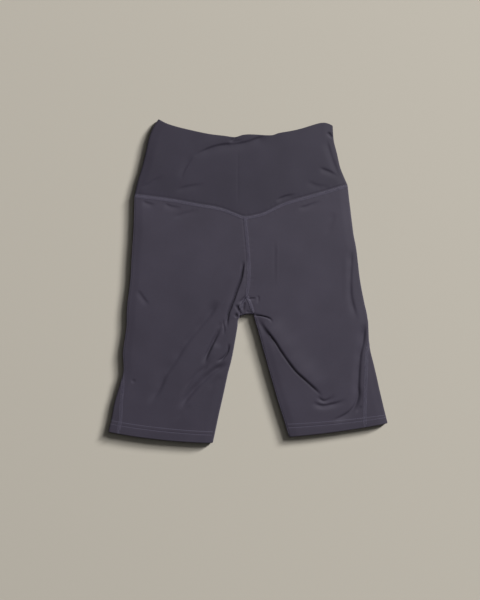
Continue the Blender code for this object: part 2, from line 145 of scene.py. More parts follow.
BAND_SIDES = (
    # station, left x, left y, right x, right y
    (0.0, -143.4, 259.5, 135.8, 249.1),
    (12.0, -152.0, 246.7, 136.5, 235.2),
    (30.0, -159.4, 227.0, 138.0, 222.4),
    (53.0, -164.2, 205.0, 142.6, 204.6),
    (76.0, -170.4, 180.5, 147.8, 182.1),
    (97.0, -176.5, 161.0, 155.4, 163.2),
    (115.0, -181.9, 137.8, 159.5, 154.1),
)
TOP_EDGE = (
    # x, y
    (-143.4, 259.5),
    (-131.2, 252.8),
    (-118.9, 248.5),
    (-100.6, 243.7),
    (-63.8, 235.7),
    (-39.4, 232.6),
    (-20.6, 230.4),
    (-8.5, 233.8),
    (3.8, 234.7),
    (37.8, 233.4),
    (49.1, 236.8),
    (69.9, 240.5),
    (85.8, 244.2),
    (104.0, 249.8),
    (116.0, 253.0),
    (125.3, 253.0),
    (135.8, 249.1),
)
YOKE_SEAM_UPPER = (
    # x, y
    (-181.9, 137.8),
    (-124.6, 130.4),
    (-76.6, 121.6),
    (-52.6, 117.8),
    (-35.0, 112.8),
    (-19.0, 106.4),
    (-5.0, 101.9),
    (11.4, 104.6),
    (22.6, 107.5),
    (33.8, 112.5),
    (47.4, 119.5),
    (59.4, 124.8),
    (75.4, 129.6),
    (115.4, 140.8),
    (159.5, 154.1),
)
YOKE_SEAM_UNDER = (
    # x, y
    (-181.9, 137.8),
    (-100.0, 130.0),
    (-5.0, 126.0),
    (85.0, 135.0),
    (159.5, 154.1),
)
LEFT_LEG = (
    # outer y, outer x, inner x, inner y, roll, side seam
    (137.8, -181.9, -5.0, 101.9, 0.0, 0.0),
    (86.7, -183.2, -0.6, 65.6, 0.0, 0.0),
    (36.8, -186.4, 0.8, 30.4, 0.0, 0.0),
    (1.0, -188.5, 0.2, 1.6, 0.0, 0.0),
    (-39.0, -193.4, -2.2, -24.0, 0.0, 0.0),
    (-56.0, -194.2, -9.8, -35.4, 0.0, 0.0),
    (-66.0, -194.2, -12.0, -49.8, 0.1, 0.0),
    (-70.4, -194.2, -12.6, -56.2, 1.0, 0.0),
    (-76.6, -194.9, -15.4, -60.4, 1.0, 0.0),
    (-84.0, -195.9, -16.6, -66.0, 1.0, 0.0),
    (-90.9, -197.1, -16.8, -71.8, 1.0, 0.0),
    (-114.6, -200.3, -21.6, -100.3, 1.0, 0.0),
    (-130.4, -199.5, -26.4, -125.6, 1.0, 0.0),
    (-146.2, -199.5, -31.8, -146.2, 1.0, 0.0),
    (-169.9, -206.7, -39.0, -179.5, 1.0, 7.6),
    (-196.8, -214.6, -46.9, -214.2, 1.0, 13.0),
    (-219.0, -218.6, -51.7, -237.0, 1.0, 16.5),
    (-241.3, -224.0, -56.5, -259.2, 1.0, 17.4),
)
RIGHT_LEG = (
    # outer y, outer x, inner x, inner y, roll, side seam
    (154.1, 159.5, -4.6, 101.9, 0.0, 0.0),
    (114.4, 163.7, -0.4, 72.0, 0.0, 0.0),
    (81.6, 167.7, 1.0, 46.4, 0.0, 0.0),
    (51.5, 173.4, 1.6, 24.0, 0.0, 0.0),
    (1.3, 179.5, 0.2, -4.8, 0.0, 0.0),
    (-35.2, 186.4, -1.4, -24.0, 0.0, 0.0),
    (-49.6, 189.8, 3.7, -36.8, 0.0, 0.0),
    (-62.0, 191.9, 7.4, -49.0, 0.1, 0.0),
    (-66.4, 192.5, 8.6, -53.4, 1.0, 0.0),
    (-95.4, 193.9, 16.2, -79.2, 1.0, 1.0),
    (-113.6, 196.6, 22.6, -102.9, 1.0, 7.5),
    (-128.3, 200.3, 29.8, -128.0, 1.0, 12.0),
    (-151.2, 205.8, 37.8, -156.8, 1.0, 18.4),
    (-173.4, 210.7, 47.7, -190.7, 1.0, 24.5),
    (-209.9, 219.4, 58.1, -223.7, 1.0, 34.5),
    (-227.5, 223.8, 65.9, -249.4, 1.0, 38.5),
)
CENTRE_SEAM_UPPER = (
    # y, x
    (101.9, -5.0),
    (65.6, -1.3),
    (30.4, 1.2),
    (1.6, 1.2),
    (-14.0, -1.0),
    (-24.0, -2.2),
)
LEFT_GUSSET_SEAM = ((-2.2, -25.0), (-9.8, -35.4), (-12.2, -50.0))
RIGHT_GUSSET_SEAM = ((-1.8, -24.0), (3.7, -36.8), (7.4, -49.0))
CENTRE_SEAM_UNDER = (
    # y, x
    (126.0, -5.0),
    (60.0, -2.0),
    (-10.0, -1.0),
)
CROTCH = {Side.LEFT: -70.4, Side.RIGHT: -66.4}  # outer y of the section that passes the crotch
APEX = {
    # outer y of the section that passes the gusset's point
    (Side.LEFT, Face.UPPER): -39.0,
    (Side.RIGHT, Face.UPPER): -35.2,
    (Side.LEFT, Face.UNDER): -18.0,
    (Side.RIGHT, Face.UNDER): -13.0,
}
LEFT_UNDER_INNER = (
    # outer y, inner x, inner y
    (137.8, -5.0, 126.0),
    (60.0, -2.0, 60.0),
    (-18.0, -1.0, -10.0),
    (-44.0, -9.0, -31.0),
)
RIGHT_UNDER_INNER = (
    # outer y, inner x, inner y
    (154.1, -5.0, 126.0),
    (70.0, -2.0, 60.0),
    (-13.0, -1.0, -10.0),
    (-40.0, 4.0, -31.0),
)


@dataclass(frozen=True)
class Hem:
    """A turned hem: how far it bows out, how deep it is and how far up its rows of stitches lie."""

    bow: float
    depth: float
    rows: tuple[float, float]


HEMS = {Side.LEFT: Hem(3.6, 19.0, (18.2, 12.8)), Side.RIGHT: Hem(2.2, 14.2, (13.4, 9.3))}


@dataclass(frozen=True)
class Fold:
    """A crease (negative height) or a ridge in the upper cloth, along a short path.

    The left and the right are those of someone walking the path, and each has its own width, so a
    crease can fall steeply from one side and rise gently on the other. The gather, for the left and
    the right, is the share by which the cloth beside the path is drawn in towards it, as it is where
    a crease is sharp. The power is 2 for a soft valley and more for steeper walls and a flat floor.
    """

    path: Path
    height: float
    left: float
    right: float
    gather: tuple[float, float] = (0.0, 0.0)
    power: float = 2.0


BAND_FOLDS = (
    # the long crease that crosses the waistband
    Fold(((34.0, 234.0), (14.0, 227.6), (-2.4, 222.1), (-20.8, 219.0), (-39.4, 217.9), (-57.8, 213.6),
          (-82.2, 202.6), (-90.0, 197.0)), -1.5, 9.0, 1.5),
    Fold(((-86.0, 201.0), (-94.0, 191.0), (-101.8, 178.1), (-105.4, 168.0), (-107.0, 158.6)),
         -0.7, 1.6, 6.0),
    Fold(((20.0, 238.0), (-30.0, 229.0), (-66.0, 221.0), (-92.0, 209.0)), 0.35, 7.0, 7.0),
    # small tucks at the top edge
    Fold(((-17.0, 231.5), (-24.0, 226.0), (-31.0, 224.0)), -1.5, 1.5, 2.0),
    Fold(((-32.0, 222.4), (-20.0, 223.6), (-6.0, 226.4)), -0.8, 1.5, 2.5),
    Fold(((127.0, 238.0), (131.5, 233.6), (138.5, 227.5)), -3.2, 1.6, 2.2),
    # lines that run down to the seam on the right
    Fold(((124.0, 231.0), (131.0, 205.0), (140.0, 180.0), (147.4, 160.8)), -0.8, 2.6, 6.0),
    Fold(((112.0, 181.0), (120.2, 178.6), (132.3, 173.8), (146.0, 165.4)), -1.0, 1.8, 5.0),
    Fold(((44.0, 127.6), (52.0, 132.2), (61.3, 135.7), (79.3, 138.9)), -1.1, 1.6, 5.0),
    Fold(((92.0, 160.0), (112.0, 152.0), (134.0, 150.0)), -0.5, 3.0, 6.0),
    # lines on the left
    Fold(((-173.0, 148.4), (-153.3, 158.6), (-133.0, 171.4)), -0.7, 1.6, 4.0),
    Fold(((-118.6, 141.0), (-108.0, 147.0), (-94.2, 150.9), (-66.0, 155.2)), -0.7, 2.4, 5.0),
    Fold(((-16.0, 214.0), (-16.4, 160.0), (-15.6, 112.0)), -0.16, 1.6, 1.6),
)
LEFT_FOLDS = (
    # drags below the seam
    Fold(((-170.0, 128.6), (-160.0, 124.0), (-147.0, 121.4)), -0.8, 1.8, 5.0),
    Fold(((-136.0, 124.6), (-122.0, 119.0), (-104.0, 116.8)), -0.8, 1.8, 5.0),
    Fold(((-122.0, 100.4), (-100.0, 108.0), (-74.0, 113.6)), -0.6, 2.6, 5.0),
    # the deep crease from the centre seam down past the crotch
    Fold(((-6.6, 34.0), (-8.0, 16.0), (-10.8, 1.6), (-17.4, -16.3), (-22.3, -31.2), (-26.7, -41.3),
          (-30.2, -51.2), (-32.4, -60.5), (-33.4, -69.8), (-33.4, -78.0)),
         -3.9, 2.0, 3.6, (0.9, 0.35), 3.0),
    Fold(((-9.0, 10.0), (-17.6, -16.3), (-22.5, -31.2), (-30.4, -51.2), (-34.0, -70.0)), -0.6, 1.4, 8.0),
    Fold(((-4.2, 34.0), (-5.6, 16.0), (-8.4, 1.6), (-15.0, -16.3), (-19.9, -31.2), (-24.3, -41.3),
          (-27.8, -51.2), (-30.0, -60.5), (-31.2, -69.8)), 1.5, 4.6, 1.8),
    Fold(((-20.0, 20.0), (-30.0, -20.0), (-42.0, -60.0)), 0.45, 7.0, 9.0),
    Fold(((-39.0, -60.0), (-39.8, -68.0), (-38.0, -76.0), (-39.6, -88.0)), -1.3, 1.8, 2.4, (0.3, 0.5)),
    Fold(((-42.0, -64.0), (-47.0, -78.0), (-51.0, -90.0)), -1.0, 1.8, 3.4),
    # drags from the crotch down the leg
    Fold(((-45.0, -76.0), (-50.2, -87.5), (-55.8, -98.9), (-61.0, -110.1), (-66.0, -120.0),
          (-69.6, -128.6), (-72.0, -136.0)), -3.6, 3.0, 4.4, (0.6, 0.3), 3.0),
    Fold(((-50.6, -95.9), (-57.0, -110.1), (-62.0, -120.0), (-65.6, -130.6)), 1.5, 9.0, 3.2),
    Fold(((-60.0, -124.0), (-68.0, -138.0), (-80.5, -148.7), (-91.5, -159.7), (-100.7, -173.4),
          (-107.3, -186.6)), -1.3, 2.2, 4.0),
    Fold(((-30.6, -99.0), (-31.9, -112.0), (-36.5, -120.3), (-42.2, -125.4), (-52.0, -129.4)),
         -3.6, 2.2, 2.2, (0.85, 0.4), 3.0),
    Fold(((-38.2, -128.5), (-57.0, -138.4), (-75.7, -151.7)), 0.5, 3.6, 3.6),
    Fold(((-33.0, -128.0), (-40.0, -135.0), (-53.6, -143.4), (-72.6, -160.1), (-85.8, -173.2),
          (-97.1, -186.7), (-106.0, -200.0), (-110.5, -208.0)), -2.9, 3.4, 5.6),
    Fold(((-40.0, -152.0), (-53.0, -162.0), (-64.0, -176.0)), -0.5, 3.0, 5.0),
    Fold(((-47.0, -30.5), (-62.0, -54.0), (-80.5, -76.0), (-101.3, -102.1), (-118.5, -130.1),
          (-131.9, -149.1), (-143.7, -174.8), (-153.0, -188.3), (-161.0, -200.0)), -2.0, 4.0, 7.6),
    Fold(((-178.2, -12.8), (-168.2, -26.8), (-157.5, -41.2)), -0.9, 2.4, 5.0),
    Fold(((-187.0, -160.5), (-179.0, -159.5)), -0.8, 2.4, 2.4),
    Fold(((-90.0, -196.0), (-108.0, -214.0), (-118.0, -226.0)), -0.5, 3.0, 5.0),
)
CROTCH_FOLDS = (
    # small deep tucks on the gusset and beside its seams
    Fold(((-3.0, -24.0), (-7.6, -29.0), (-12.6, -34.1), (-14.0, -38.0)), -1.5, 1.8, 2.2),
    Fold(((-17.6, -38.0), (-16.6, -43.8), (-14.2, -49.0), (-9.8, -57.0)),
         -4.6, 2.8, 2.6, (0.2, 0.8), 4.0),
    Fold(((-20.8, -53.2), (-19.6, -55.6), (-17.6, -58.6)), -4.0, 1.9, 1.9, (0.2, 0.6), 3.0),
    Fold(((-4.4, -33.0), (-6.6, -38.6), (-7.4, -43.9), (-6.6, -49.5)), -1.5, 1.8, 2.2),
    Fold(((-3.6, -48.0), (0.0, -50.0), (4.4, -51.2)), -1.2, 1.6, 1.8),
    Fold(((-1.0, -29.0), (5.0, -28.2), (13.3, -27.0)), -1.6, 1.2, 2.0),
    Fold(((15.6, -22.0), (17.0, -29.1), (14.6, -36.6)), -0.9, 1.2, 2.0),
)
RIGHT_FOLDS = (
    # drags below the seam
    Fold(((78.1, 116.0), (92.0, 119.0), (104.2, 123.5), (119.5, 128.2)), -0.8, 1.8, 5.0),
    Fold(((137.8, 112.2), (132.6, 91.2), (122.0, 70.1)), -0.5, 4.0, 8.0),
    # the short crease from the crotch's right corner
    Fold(((6.0, -54.4), (10.9, -55.2), (18.7, -55.6), (25.8, -57.0), (33.0, -59.4), (37.4, -63.2),
          (38.4, -68.0)), -3.4, 1.8, 1.8, (0.6, 0.95), 3.0),
    # the big curved crease from the crotch to the hook near the hem
    Fold(((14.0, -56.0), (19.7, -66.6), (31.7, -83.9), (42.2, -98.5), (50.2, -111.8)),
         -1.2, 3.2, 7.5, (0.2, 0.4)),
    Fold(((24.6, -66.0), (32.0, -75.4), (46.8, -94.9), (54.8, -108.2), (66.7, -125.4), (80.1, -142.6),
          (93.2, -154.6), (109.2, -169.1), (124.0, -183.4)), 2.8, 22.0, 4.4),
    Fold(((28.0, -78.6), (42.8, -98.1), (50.8, -111.4), (62.7, -128.6), (76.1, -145.8),
          (89.2, -157.8), (105.2, -172.3), (121.0, -187.4)), -1.7, 2.6, 1.5, (0.2, 0.8)),
    # the hooks at its end
    Fold(((110.3, -182.3), (115.0, -188.6), (121.6, -191.9), (131.7, -188.0), (140.0, -180.6)),
         -1.5, 2.4, 3.8, (0.2, 0.3)),
    Fold(((110.0, -190.0), (122.0, -196.4), (136.0, -192.6), (148.0, -186.0)), 0.2, 2.2, 2.2),
    Fold(((101.9, -191.4), (110.0, -198.0), (120.6, -200.6), (133.6, -198.4), (148.3, -193.4),
          (160.4, -187.8)), -2.0, 2.6, 5.0, (0.2, 0.3)),
    # the long curve beside the side seam
    Fold(((187.0, -66.0), (184.0, -97.1), (179.6, -117.3), (177.4, -143.0), (176.4, -165.0),
          (176.0, -183.4), (171.6, -198.0), (162.0, -209.4)), -2.5, 3.3, 6.6, (0.3, 0.0)),
    Fold(((176.6, -166.0), (176.0, -183.4), (171.6, -198.0), (162.0, -209.4), (149.5, -217.4),
          (137.3, -222.2), (131.0, -224.0)), -2.3, 5.6, 2.3, (0.0, 0.2)),
    Fold(((183.0, -199.6), (172.3, -211.3)), -0.9, 1.6, 2.6),
    # long low lines down the leg
    Fold(((47.5, 68.6), (47.0, 30.0), (46.6, -12.6)), 0.2, 1.6, 1.6),
    Fold(((42.5, 68.0), (42.0, -6.0)), -0.2, 2.0, 2.0),
    Fold(((157.0, 50.0), (158.6, -40.0)), 0.4, 5.0, 5.0),
    Fold(((165.8, 52.0), (163.8, -17.6), (169.1, -44.0), (176.0, -66.0)), -1.2, 2.4, 6.0),
)


class Table:
    """Rows of numbers, read along a smooth curve at values of the first column."""

    def __init__(self, rows: Sequence[Row]) -> None:
        """Keeps the rows in rising order of the first column, with a slope at each.

        Args:
            rows: The table; its first column rises or falls throughout.
        """
        held = np.array(rows, float)
        if held[0, 0] > held[-1, 0]:
            held = held[::-1]
        self.keys = held[:, 0]
        self.values = held[:, 1:]
        before = np.maximum(np.arange(len(held)) - 1, 0)
        after = np.minimum(np.arange(len(held)) + 1, len(held) - 1)
        rise = self.values[after] - self.values[before]
        self.slopes = rise / (self.keys[after] - self.keys[before])[:, None]

    def at(self, wanted: Array | float) -> list[Array]:
        """Reads the table.

        Args:
            wanted: Values of the first column; beyond the ends they are held.

        Returns:
            One array for each other column.
        """
        key = np.clip(np.asarray(wanted, float), self.keys[0], self.keys[-1])
        low = np.clip(np.searchsorted(self.keys, key, side="right") - 1, 0, len(self.keys) - 2)
        span = self.keys[low + 1] - self.keys[low]
        part = (key - self.keys[low]) / span
        square, cube = part * part, part * part * part
        read = []
        for column in range(self.values.shape[1]):
            start, end = self.values[low, column], self.values[low + 1, column]
            leave = self.slopes[low, column] * span
            arrive = self.slopes[low + 1, column] * span
            read.append(
                (2 * cube - 3 * square + 1) * start
                + (cube - 2 * square + part) * leave
                + (3 * square - 2 * cube) * end
                + (cube - square) * arrive
            )
        return read


def ease(value: Array | float) -> Array:
    """A smooth step from 0 to 1 as the value goes from 0 to 1."""
    held = np.clip(value, 0.0, 1.0)
    return held * held * (3 - 2 * held)


def bell(value: Array | float, power: float = 2.0) -> Array:
    """A bump that is 1 at 0 and fades to both sides, the more steeply the greater the power."""
    return np.exp(-(value ** power))


def kept_above(height: Array, limit: float) -> Array:
    """The height, with a limit under it that it nears in a soft bend."""
    return 0.5 * (height + limit + np.sqrt((height - limit) ** 2 + SOFT_LIMIT))


def in_metres(points: Array) -> Array:
    """Points in metres round the outline's middle, from points in the tables' plan."""
    return (points - np.array([*PLAN_MIDDLE, 0.0])) * MM


def face_area(points: Array) -> float:
    """Adds up the area of a grid of points.

    Args:
        points: The points in millimetres, in rows.

    Returns:
        The area in square metres.
    """
    across = points[:-1, 1:] - points[:-1, :-1]
    along = points[1:, :-1] - points[:-1, :-1]
    return float(np.linalg.norm(np.cross(across, along), axis=-1).sum()) * MM * MM


def smooth_path(path: Path, step: float = 3.0) -> Array:
    """Points about one step apart on a smooth curve through a path.

    Args:
        path: The path's own points.
        step: Distance between the new points.

    Returns:
        An array of x and y.
    """
    points = np.array(path, float)
    lengths = np.concatenate([[0.0], np.cumsum(np.linalg.norm(np.diff(points, axis=0), axis=1))])
    table = Table([(length, x, y) for length, (x, y) in zip(lengths, points)])
    at = np.linspace(0.0, lengths[-1], max(int(lengths[-1] / step), 2) + 1)
    return np.stack(table.at(at), axis=1)


@dataclass(frozen=True)
class Beside:
    """Where places lie beside a line: how far away, how far along it, which side, and its nearest spot."""

    away: Array
    along: Array
    left: Array
    spot_x: Array
    spot_y: Array


def near_path(points: Array, x: Array, y: Array) -> Beside:
    """Finds where places lie beside a line of points.

    Args:
        points: The line's points, as x and y.
        x: Places across the shorts.
        y: Places along the shorts.

    Returns:
        Where each place lies beside the line.
    """
    best = np.full(x.shape, np.inf)
    along = np.zeros(x.shape)
    left = np.zeros(x.shape, bool)
    spot_x, spot_y = np.zeros(x.shape), np.zeros(x.shape)
    passed = 0.0
    for (ax, ay), (bx, by) in zip(points[:-1], points[1:]):
        dx, dy = bx - ax, by - ay
        length = math.hypot(dx, dy)
        share = np.clip(((x - ax) * dx + (y - ay) * dy) / length**2, 0.0, 1.0)
        near_x, near_y = ax + share * dx, ay + share * dy
        away = np.hypot(near_x - x, near_y - y)
        nearer = away < best
        best = np.where(nearer, away, best)
        spot_x, spot_y = np.where(nearer, near_x, spot_x), np.where(nearer, near_y, spot_y)
        along = np.where(nearer, passed + share * length, along)
        left = np.where(nearer, dx * (y - ay) - dy * (x - ax) > 0, left)
        passed += length
    return Beside(best, along, left, spot_x, spot_y)


@dataclass
class SeamRelief:
    """How cloth lies along a seam: a low flat ridge, a sunk line beside it and small puckers.

    The line's points and how far beside it the cloth is sunk come first. The puckers stand between the
    pucker start and the pucker reach, measured from the line, and begin at a turn of their own.
    """

    line: Array
    beside: tuple[float, float]
    ridge: float = 0.14
    ridge_width: float = 3.6
    sink: float = 0.4
    sink_width: float = 1.3
    pucker: float = 0.12
    pucker_start: float = 3.0
    pucker_reach: float = 8.0
    pucker_length: float = 9.5
    turned: float = 0.0

    def height(self, x: Array, y: Array) -> Array:
        """Finds the height over the plain cloth.

        Args:
            x: Places across the shorts.
            y: Places along the shorts.

        Returns:
            The height of each place.
        """
        seam = near_path(self.line, x, y)
        raised = self.ridge * bell(seam.away / self.ridge_width, 4)
        off = near_path(self.line + np.array(self.beside), x, y).away
        sunk = -self.sink * bell(off / self.sink_width)
        turns = 2 * math.pi * seam.along / self.pucker_length + self.turned
        wave = np.sin(turns + 0.9 * np.sin(0.37 * turns)) * (0.6 + 0.4 * np.sin(0.21 * turns + 1.0))
        near = bell(seam.away / self.pucker_reach) * (1 - bell(seam.away / self.pucker_start))
        return raised + sunk + self.pucker * wave * near


@dataclass
class Relief:
    """Everything that stands over the plain flat upper panels, by place in the plan.

    The waves are long low swells in all directions, and one of the usual length has the wave height.
    """

    folds: Sequence[Fold]
    seams: Sequence[SeamRelief]
    waves: int = 14
    wave_lengths: tuple[float, float] = (24.0, 85.0)
    usual_length: float = 50.0
    wave_height: float = 0.022
    seed: int = 7
    lines: list[Array] = field(default_factory=list)

    def __post_init__(self) -> None:
        """Works out the smooth line of each fold and draws the long low waves."""
        self.lines = [smooth_path(fold.path) for fold in self.folds]
        draw = np.random.default_rng(self.seed)
        lengths = draw.uniform(*self.wave_lengths, self.waves)
        turns = draw.uniform(0.0, 2 * math.pi, self.waves)
        self.wave_x = 2 * math.pi * np.cos(turns) / lengths
        self.wave_y = 2 * math.pi * np.sin(turns) / lengths
        self.wave_at = draw.uniform(0.0, 2 * math.pi, self.waves)
        self.wave_size = self.wave_height * lengths / self.usual_length

    def form(self, x: Array, y: Array) -> Array:
        """Finds how the cloth lies over the plain panel.

        Args:
            x: Places across the shorts.
            y: Places along the shorts.

        Returns:
            The shift across, the shift along and the height of each place, one after another.
        """
        total = np.zeros((3, *x.shape))
        for wx, wy, at, size in zip(self.wave_x, self.wave_y, self.wave_at, self.wave_size):
            total[2] += size * np.sin(wx * x + wy * y + at)
        for fold, line in zip(self.folds, self.lines):
            near = inside(line, FOLD_REACH * max(fold.left, fold.right), x, y)
            if near.any():
                total[:, near] += self.fold_form(fold, line, x[near], y[near])
        for seam in self.seams:
            near = inside(seam.line, FOLD_REACH * seam.pucker_reach, x, y)
            if near.any():
                total[2, near] += seam.height(x[near], y[near])
        return total

    def fold_form(self, fold: Fold, line: Array, x: Array, y: Array) -> Array:
        """Finds what one fold adds at each place.

        Args:
            fold: The fold.
            line: Points of its smooth path.
            x: Places across the shorts.
            y: Places along the shorts.

        Returns:
            The shift across, the shift along and the height, one after another.
        """
        beside = near_path(line, x, y)
        length = float(np.linalg.norm(np.diff(line, axis=0), axis=1).sum())
        passed = beside.along / length
        begins = min(FADE_IN[0], FADE_IN[1] / length)
        ends = min(FADE_OUT[0], FADE_OUT[1] / length)
        fade = ease(passed / begins) * ease((1 - passed) / ends)
        short, long = (beside.along / turn_length for turn_length in UNEVEN_LENGTHS)
        uneven = 1 + UNEVEN * np.sin(short + length) * np.sin(long)
        width = np.where(beside.left, fold.left, fold.right)
        height = fold.height * fade * uneven * bell(beside.away / width, fold.power)
        gather = np.where(beside.left, *fold.gather)
        drawn = gather * fade * bell(beside.away / (GATHER_REACH * width))
        return np.stack([drawn * (beside.spot_x - x), drawn * (beside.spot_y - y), height])


def inside(line: Array, reach: float, x: Array, y: Array) -> Array:
    """Finds which places lie in the box round a line, grown by a reach.

    Args:
        line: The line's points.
        reach: How far past the line the box goes.
        x: Places across the shorts.
        y: Places along the shorts.

    Returns:
        True for each place in the box.
    """
    low, high = line.min(axis=0) - reach, line.max(axis=0) + reach
    return (x > low[0]) & (x < high[0]) & (y > low[1]) & (y < high[1])


def turn(arc: Array, share: Array) -> tuple[Array, Array, Array]:
    """Follows the outer face from the seam at a folded edge on to the flat.

    Args:
        arc: Distance along the cloth from the end of the turn.
        share: How much of the quarter turn there is, from 0 for none to 1.

    Returns:
        The distance in from the edge, the drop from the flat, and the angle turned.
    """
    radius = CLOTH.edge_radius
    most = share * math.pi / 2
    left = np.maximum(most - arc / radius, 0.0)
    flat = np.maximum(arc - most * radius, 0.0)
    return radius * (np.sin(most) - np.sin(left)) + flat, radius * (1 - np.cos(left)), left


@dataclass
class Tube:
    """A stretch of the shorts that is a tube laid flat, from a folded edge to its other edge."""

    first: float
    last: float
    relief: Relief
    under_seams: list[Array] = field(default_factory=list)
    cloth: float = CLOTH.leg

    def edges(self, station: Array) -> list[Array]:
        """Start x, start y, end x and end y at each station."""
        raise NotImplementedError

    def bow(self, share: Array, station: Array) -> Array:
        """How far each row leaves the line between its ends."""
        raise NotImplementedError

    def roll(self, station: Array) -> Array:
        """Share of a quarter turn at the end."""
        return np.ones(np.shape(station))

    def width(self, station: Array) -> Array:
        """Distance between the two edges."""
        ax, ay, bx, by = self.edges(station)
        return np.hypot(bx - ax, by - ay)

    def whole(self, station: Array) -> Array:
        """Works out how long the outer face is.

        Args:
            station: Stations along the tube.

        Returns:
            Its length at each station, from the middle of the folded edge to the other edge.
        """
        most = self.roll(station) * math.pi / 2
        flat = self.width(station) - CLOTH.edge_radius * (1 + np.sin(most))
        return flat + CLOTH.edge_radius * (math.pi / 2 + most)

    def points(self, arc: Array, station: Array, depth: Array | float) -> Array:
        """Finds points in the cloth.

        Args:
            arc: Distances from the folded edge, positive above and negative under.
            station: Stations along the tube, in the same shape.
            depth: Distances in from the outer face; negative stands out of it.

        Returns:
            The points in millimetres, with x, y and z last.
        """
        ax, ay, bx, by = self.edges(station)
        width, whole, roll = self.width(station), self.whole(station), self.roll(station)
        walked = np.abs(arc)
        at_start = walked < whole / 2
        reach_a, drop_a, angle_a = turn(walked, np.ones(np.shape(station)))
        reach_b, drop_b, angle_b = turn(whole - walked, roll)
        drop = np.where(at_start, drop_a, drop_b)
        angle = np.where(at_start, angle_a, angle_b)
        inward = np.where(
            at_start,
            reach_a + depth * np.sin(angle_a),
            width - reach_b - depth * np.sin(angle_b),
        )
        share = inward / width
        x = ax + share * (bx - ax)
        y = ay + share * (by - ay) + self.bow(share, station)
        form = self.relief.form(x, y)
        form[2] += self.swell(station)
        near = []
        for reach in (CLOTH.lift_reach, CLOTH.fold_reach):
            near_b = 1 - roll * (1 - ease(reach_b / reach))
            near.append(np.where(at_start, ease(reach_a / reach), near_b))
        lifted = near[0] * CLOTH.lift + near[1] * form[2]
        floor = CLOTH.clearance + 2 * self.cloth - 2 * CLOTH.edge_radius
        lifted = kept_above(lifted, floor)
        upper = 2 * CLOTH.edge_radius - drop + lifted - depth * np.cos(angle)
        under = drop + (depth + self.channel(x, y, station)) * np.cos(angle)
        shown = np.where(arc < 0, 0.0, near[1])
        z = np.where(arc < 0, under, upper)
        return np.stack([x + shown * form[0], y + shown * form[1], z], axis=-1)

    def swell(self, station: Array) -> Array | float:
        """How far the upper face stands out more over a thicker stretch."""
        return 0.0

    def channel(self, x: Array, y: Array, station: Array) -> Array:
        """Draws the under face up along its seams, which keeps the stitches off the floor.

        Args:
            x: Places across the shorts.
            y: Places along the shorts.
            station: Their stations along the tube.

        Returns:
            How far the face is drawn up at each place.
        """
        drawn = np.zeros(x.shape)
        for line in self.under_seams:
            away = near_path(line, x, y).away
            drawn = np.maximum(drawn, UNDER_CHANNEL * bell(away / CHANNEL_WIDTH, 4))
        return drawn


@dataclass
class BandTube(Tube):
    """The waistband, from its left folded edge to its right one."""

    bottom: tuple[Row, ...] = YOKE_SEAM_UPPER
    cloth: float = CLOTH.band

    def __post_init__(self) -> None:
        """Reads the tables once."""
        self.sides = Table(BAND_SIDES)
        self.top_line = Table(TOP_EDGE)
        self.seam_line = Table(self.bottom)

    def edges(self, station: Array) -> list[Array]:
        """Left and right edge at each station."""
        return self.sides.at(station)

    def leaving(self, table: tuple[Row, ...], line: Table, share: Array) -> Array:
        """Works out how far a table's line leaves the straight line between its ends.

        Args:
            table: The table of x and y.
            line: The same table, ready to be read.
            share: Shares of the way between its ends.

        Returns:
            The distance along the shorts at each share.
        """
        (ax, ay), (bx, by) = table[0], table[-1]
        held = np.clip(share, 0.0, 1.0)
        return line.at(ax + held * (bx - ax))[0] - (ay + held * (by - ay))

    def bow(self, share: Array, station: Array) -> Array:
        """Bows the rows, from the top edge's shape to the seam's.

        Args:
            share: Shares of the way from the left edge to the right one.
            station: Stations along the tube.

        Returns:
            How far each place leaves the straight line between its row's ends.
        """
        down = ease((station - self.first) / (self.last - self.first))
        top = self.leaving(TOP_EDGE, self.top_line, share)
        seam = self.leaving(self.bottom, self.seam_line, share)
        return (1 - down) * top + down * seam


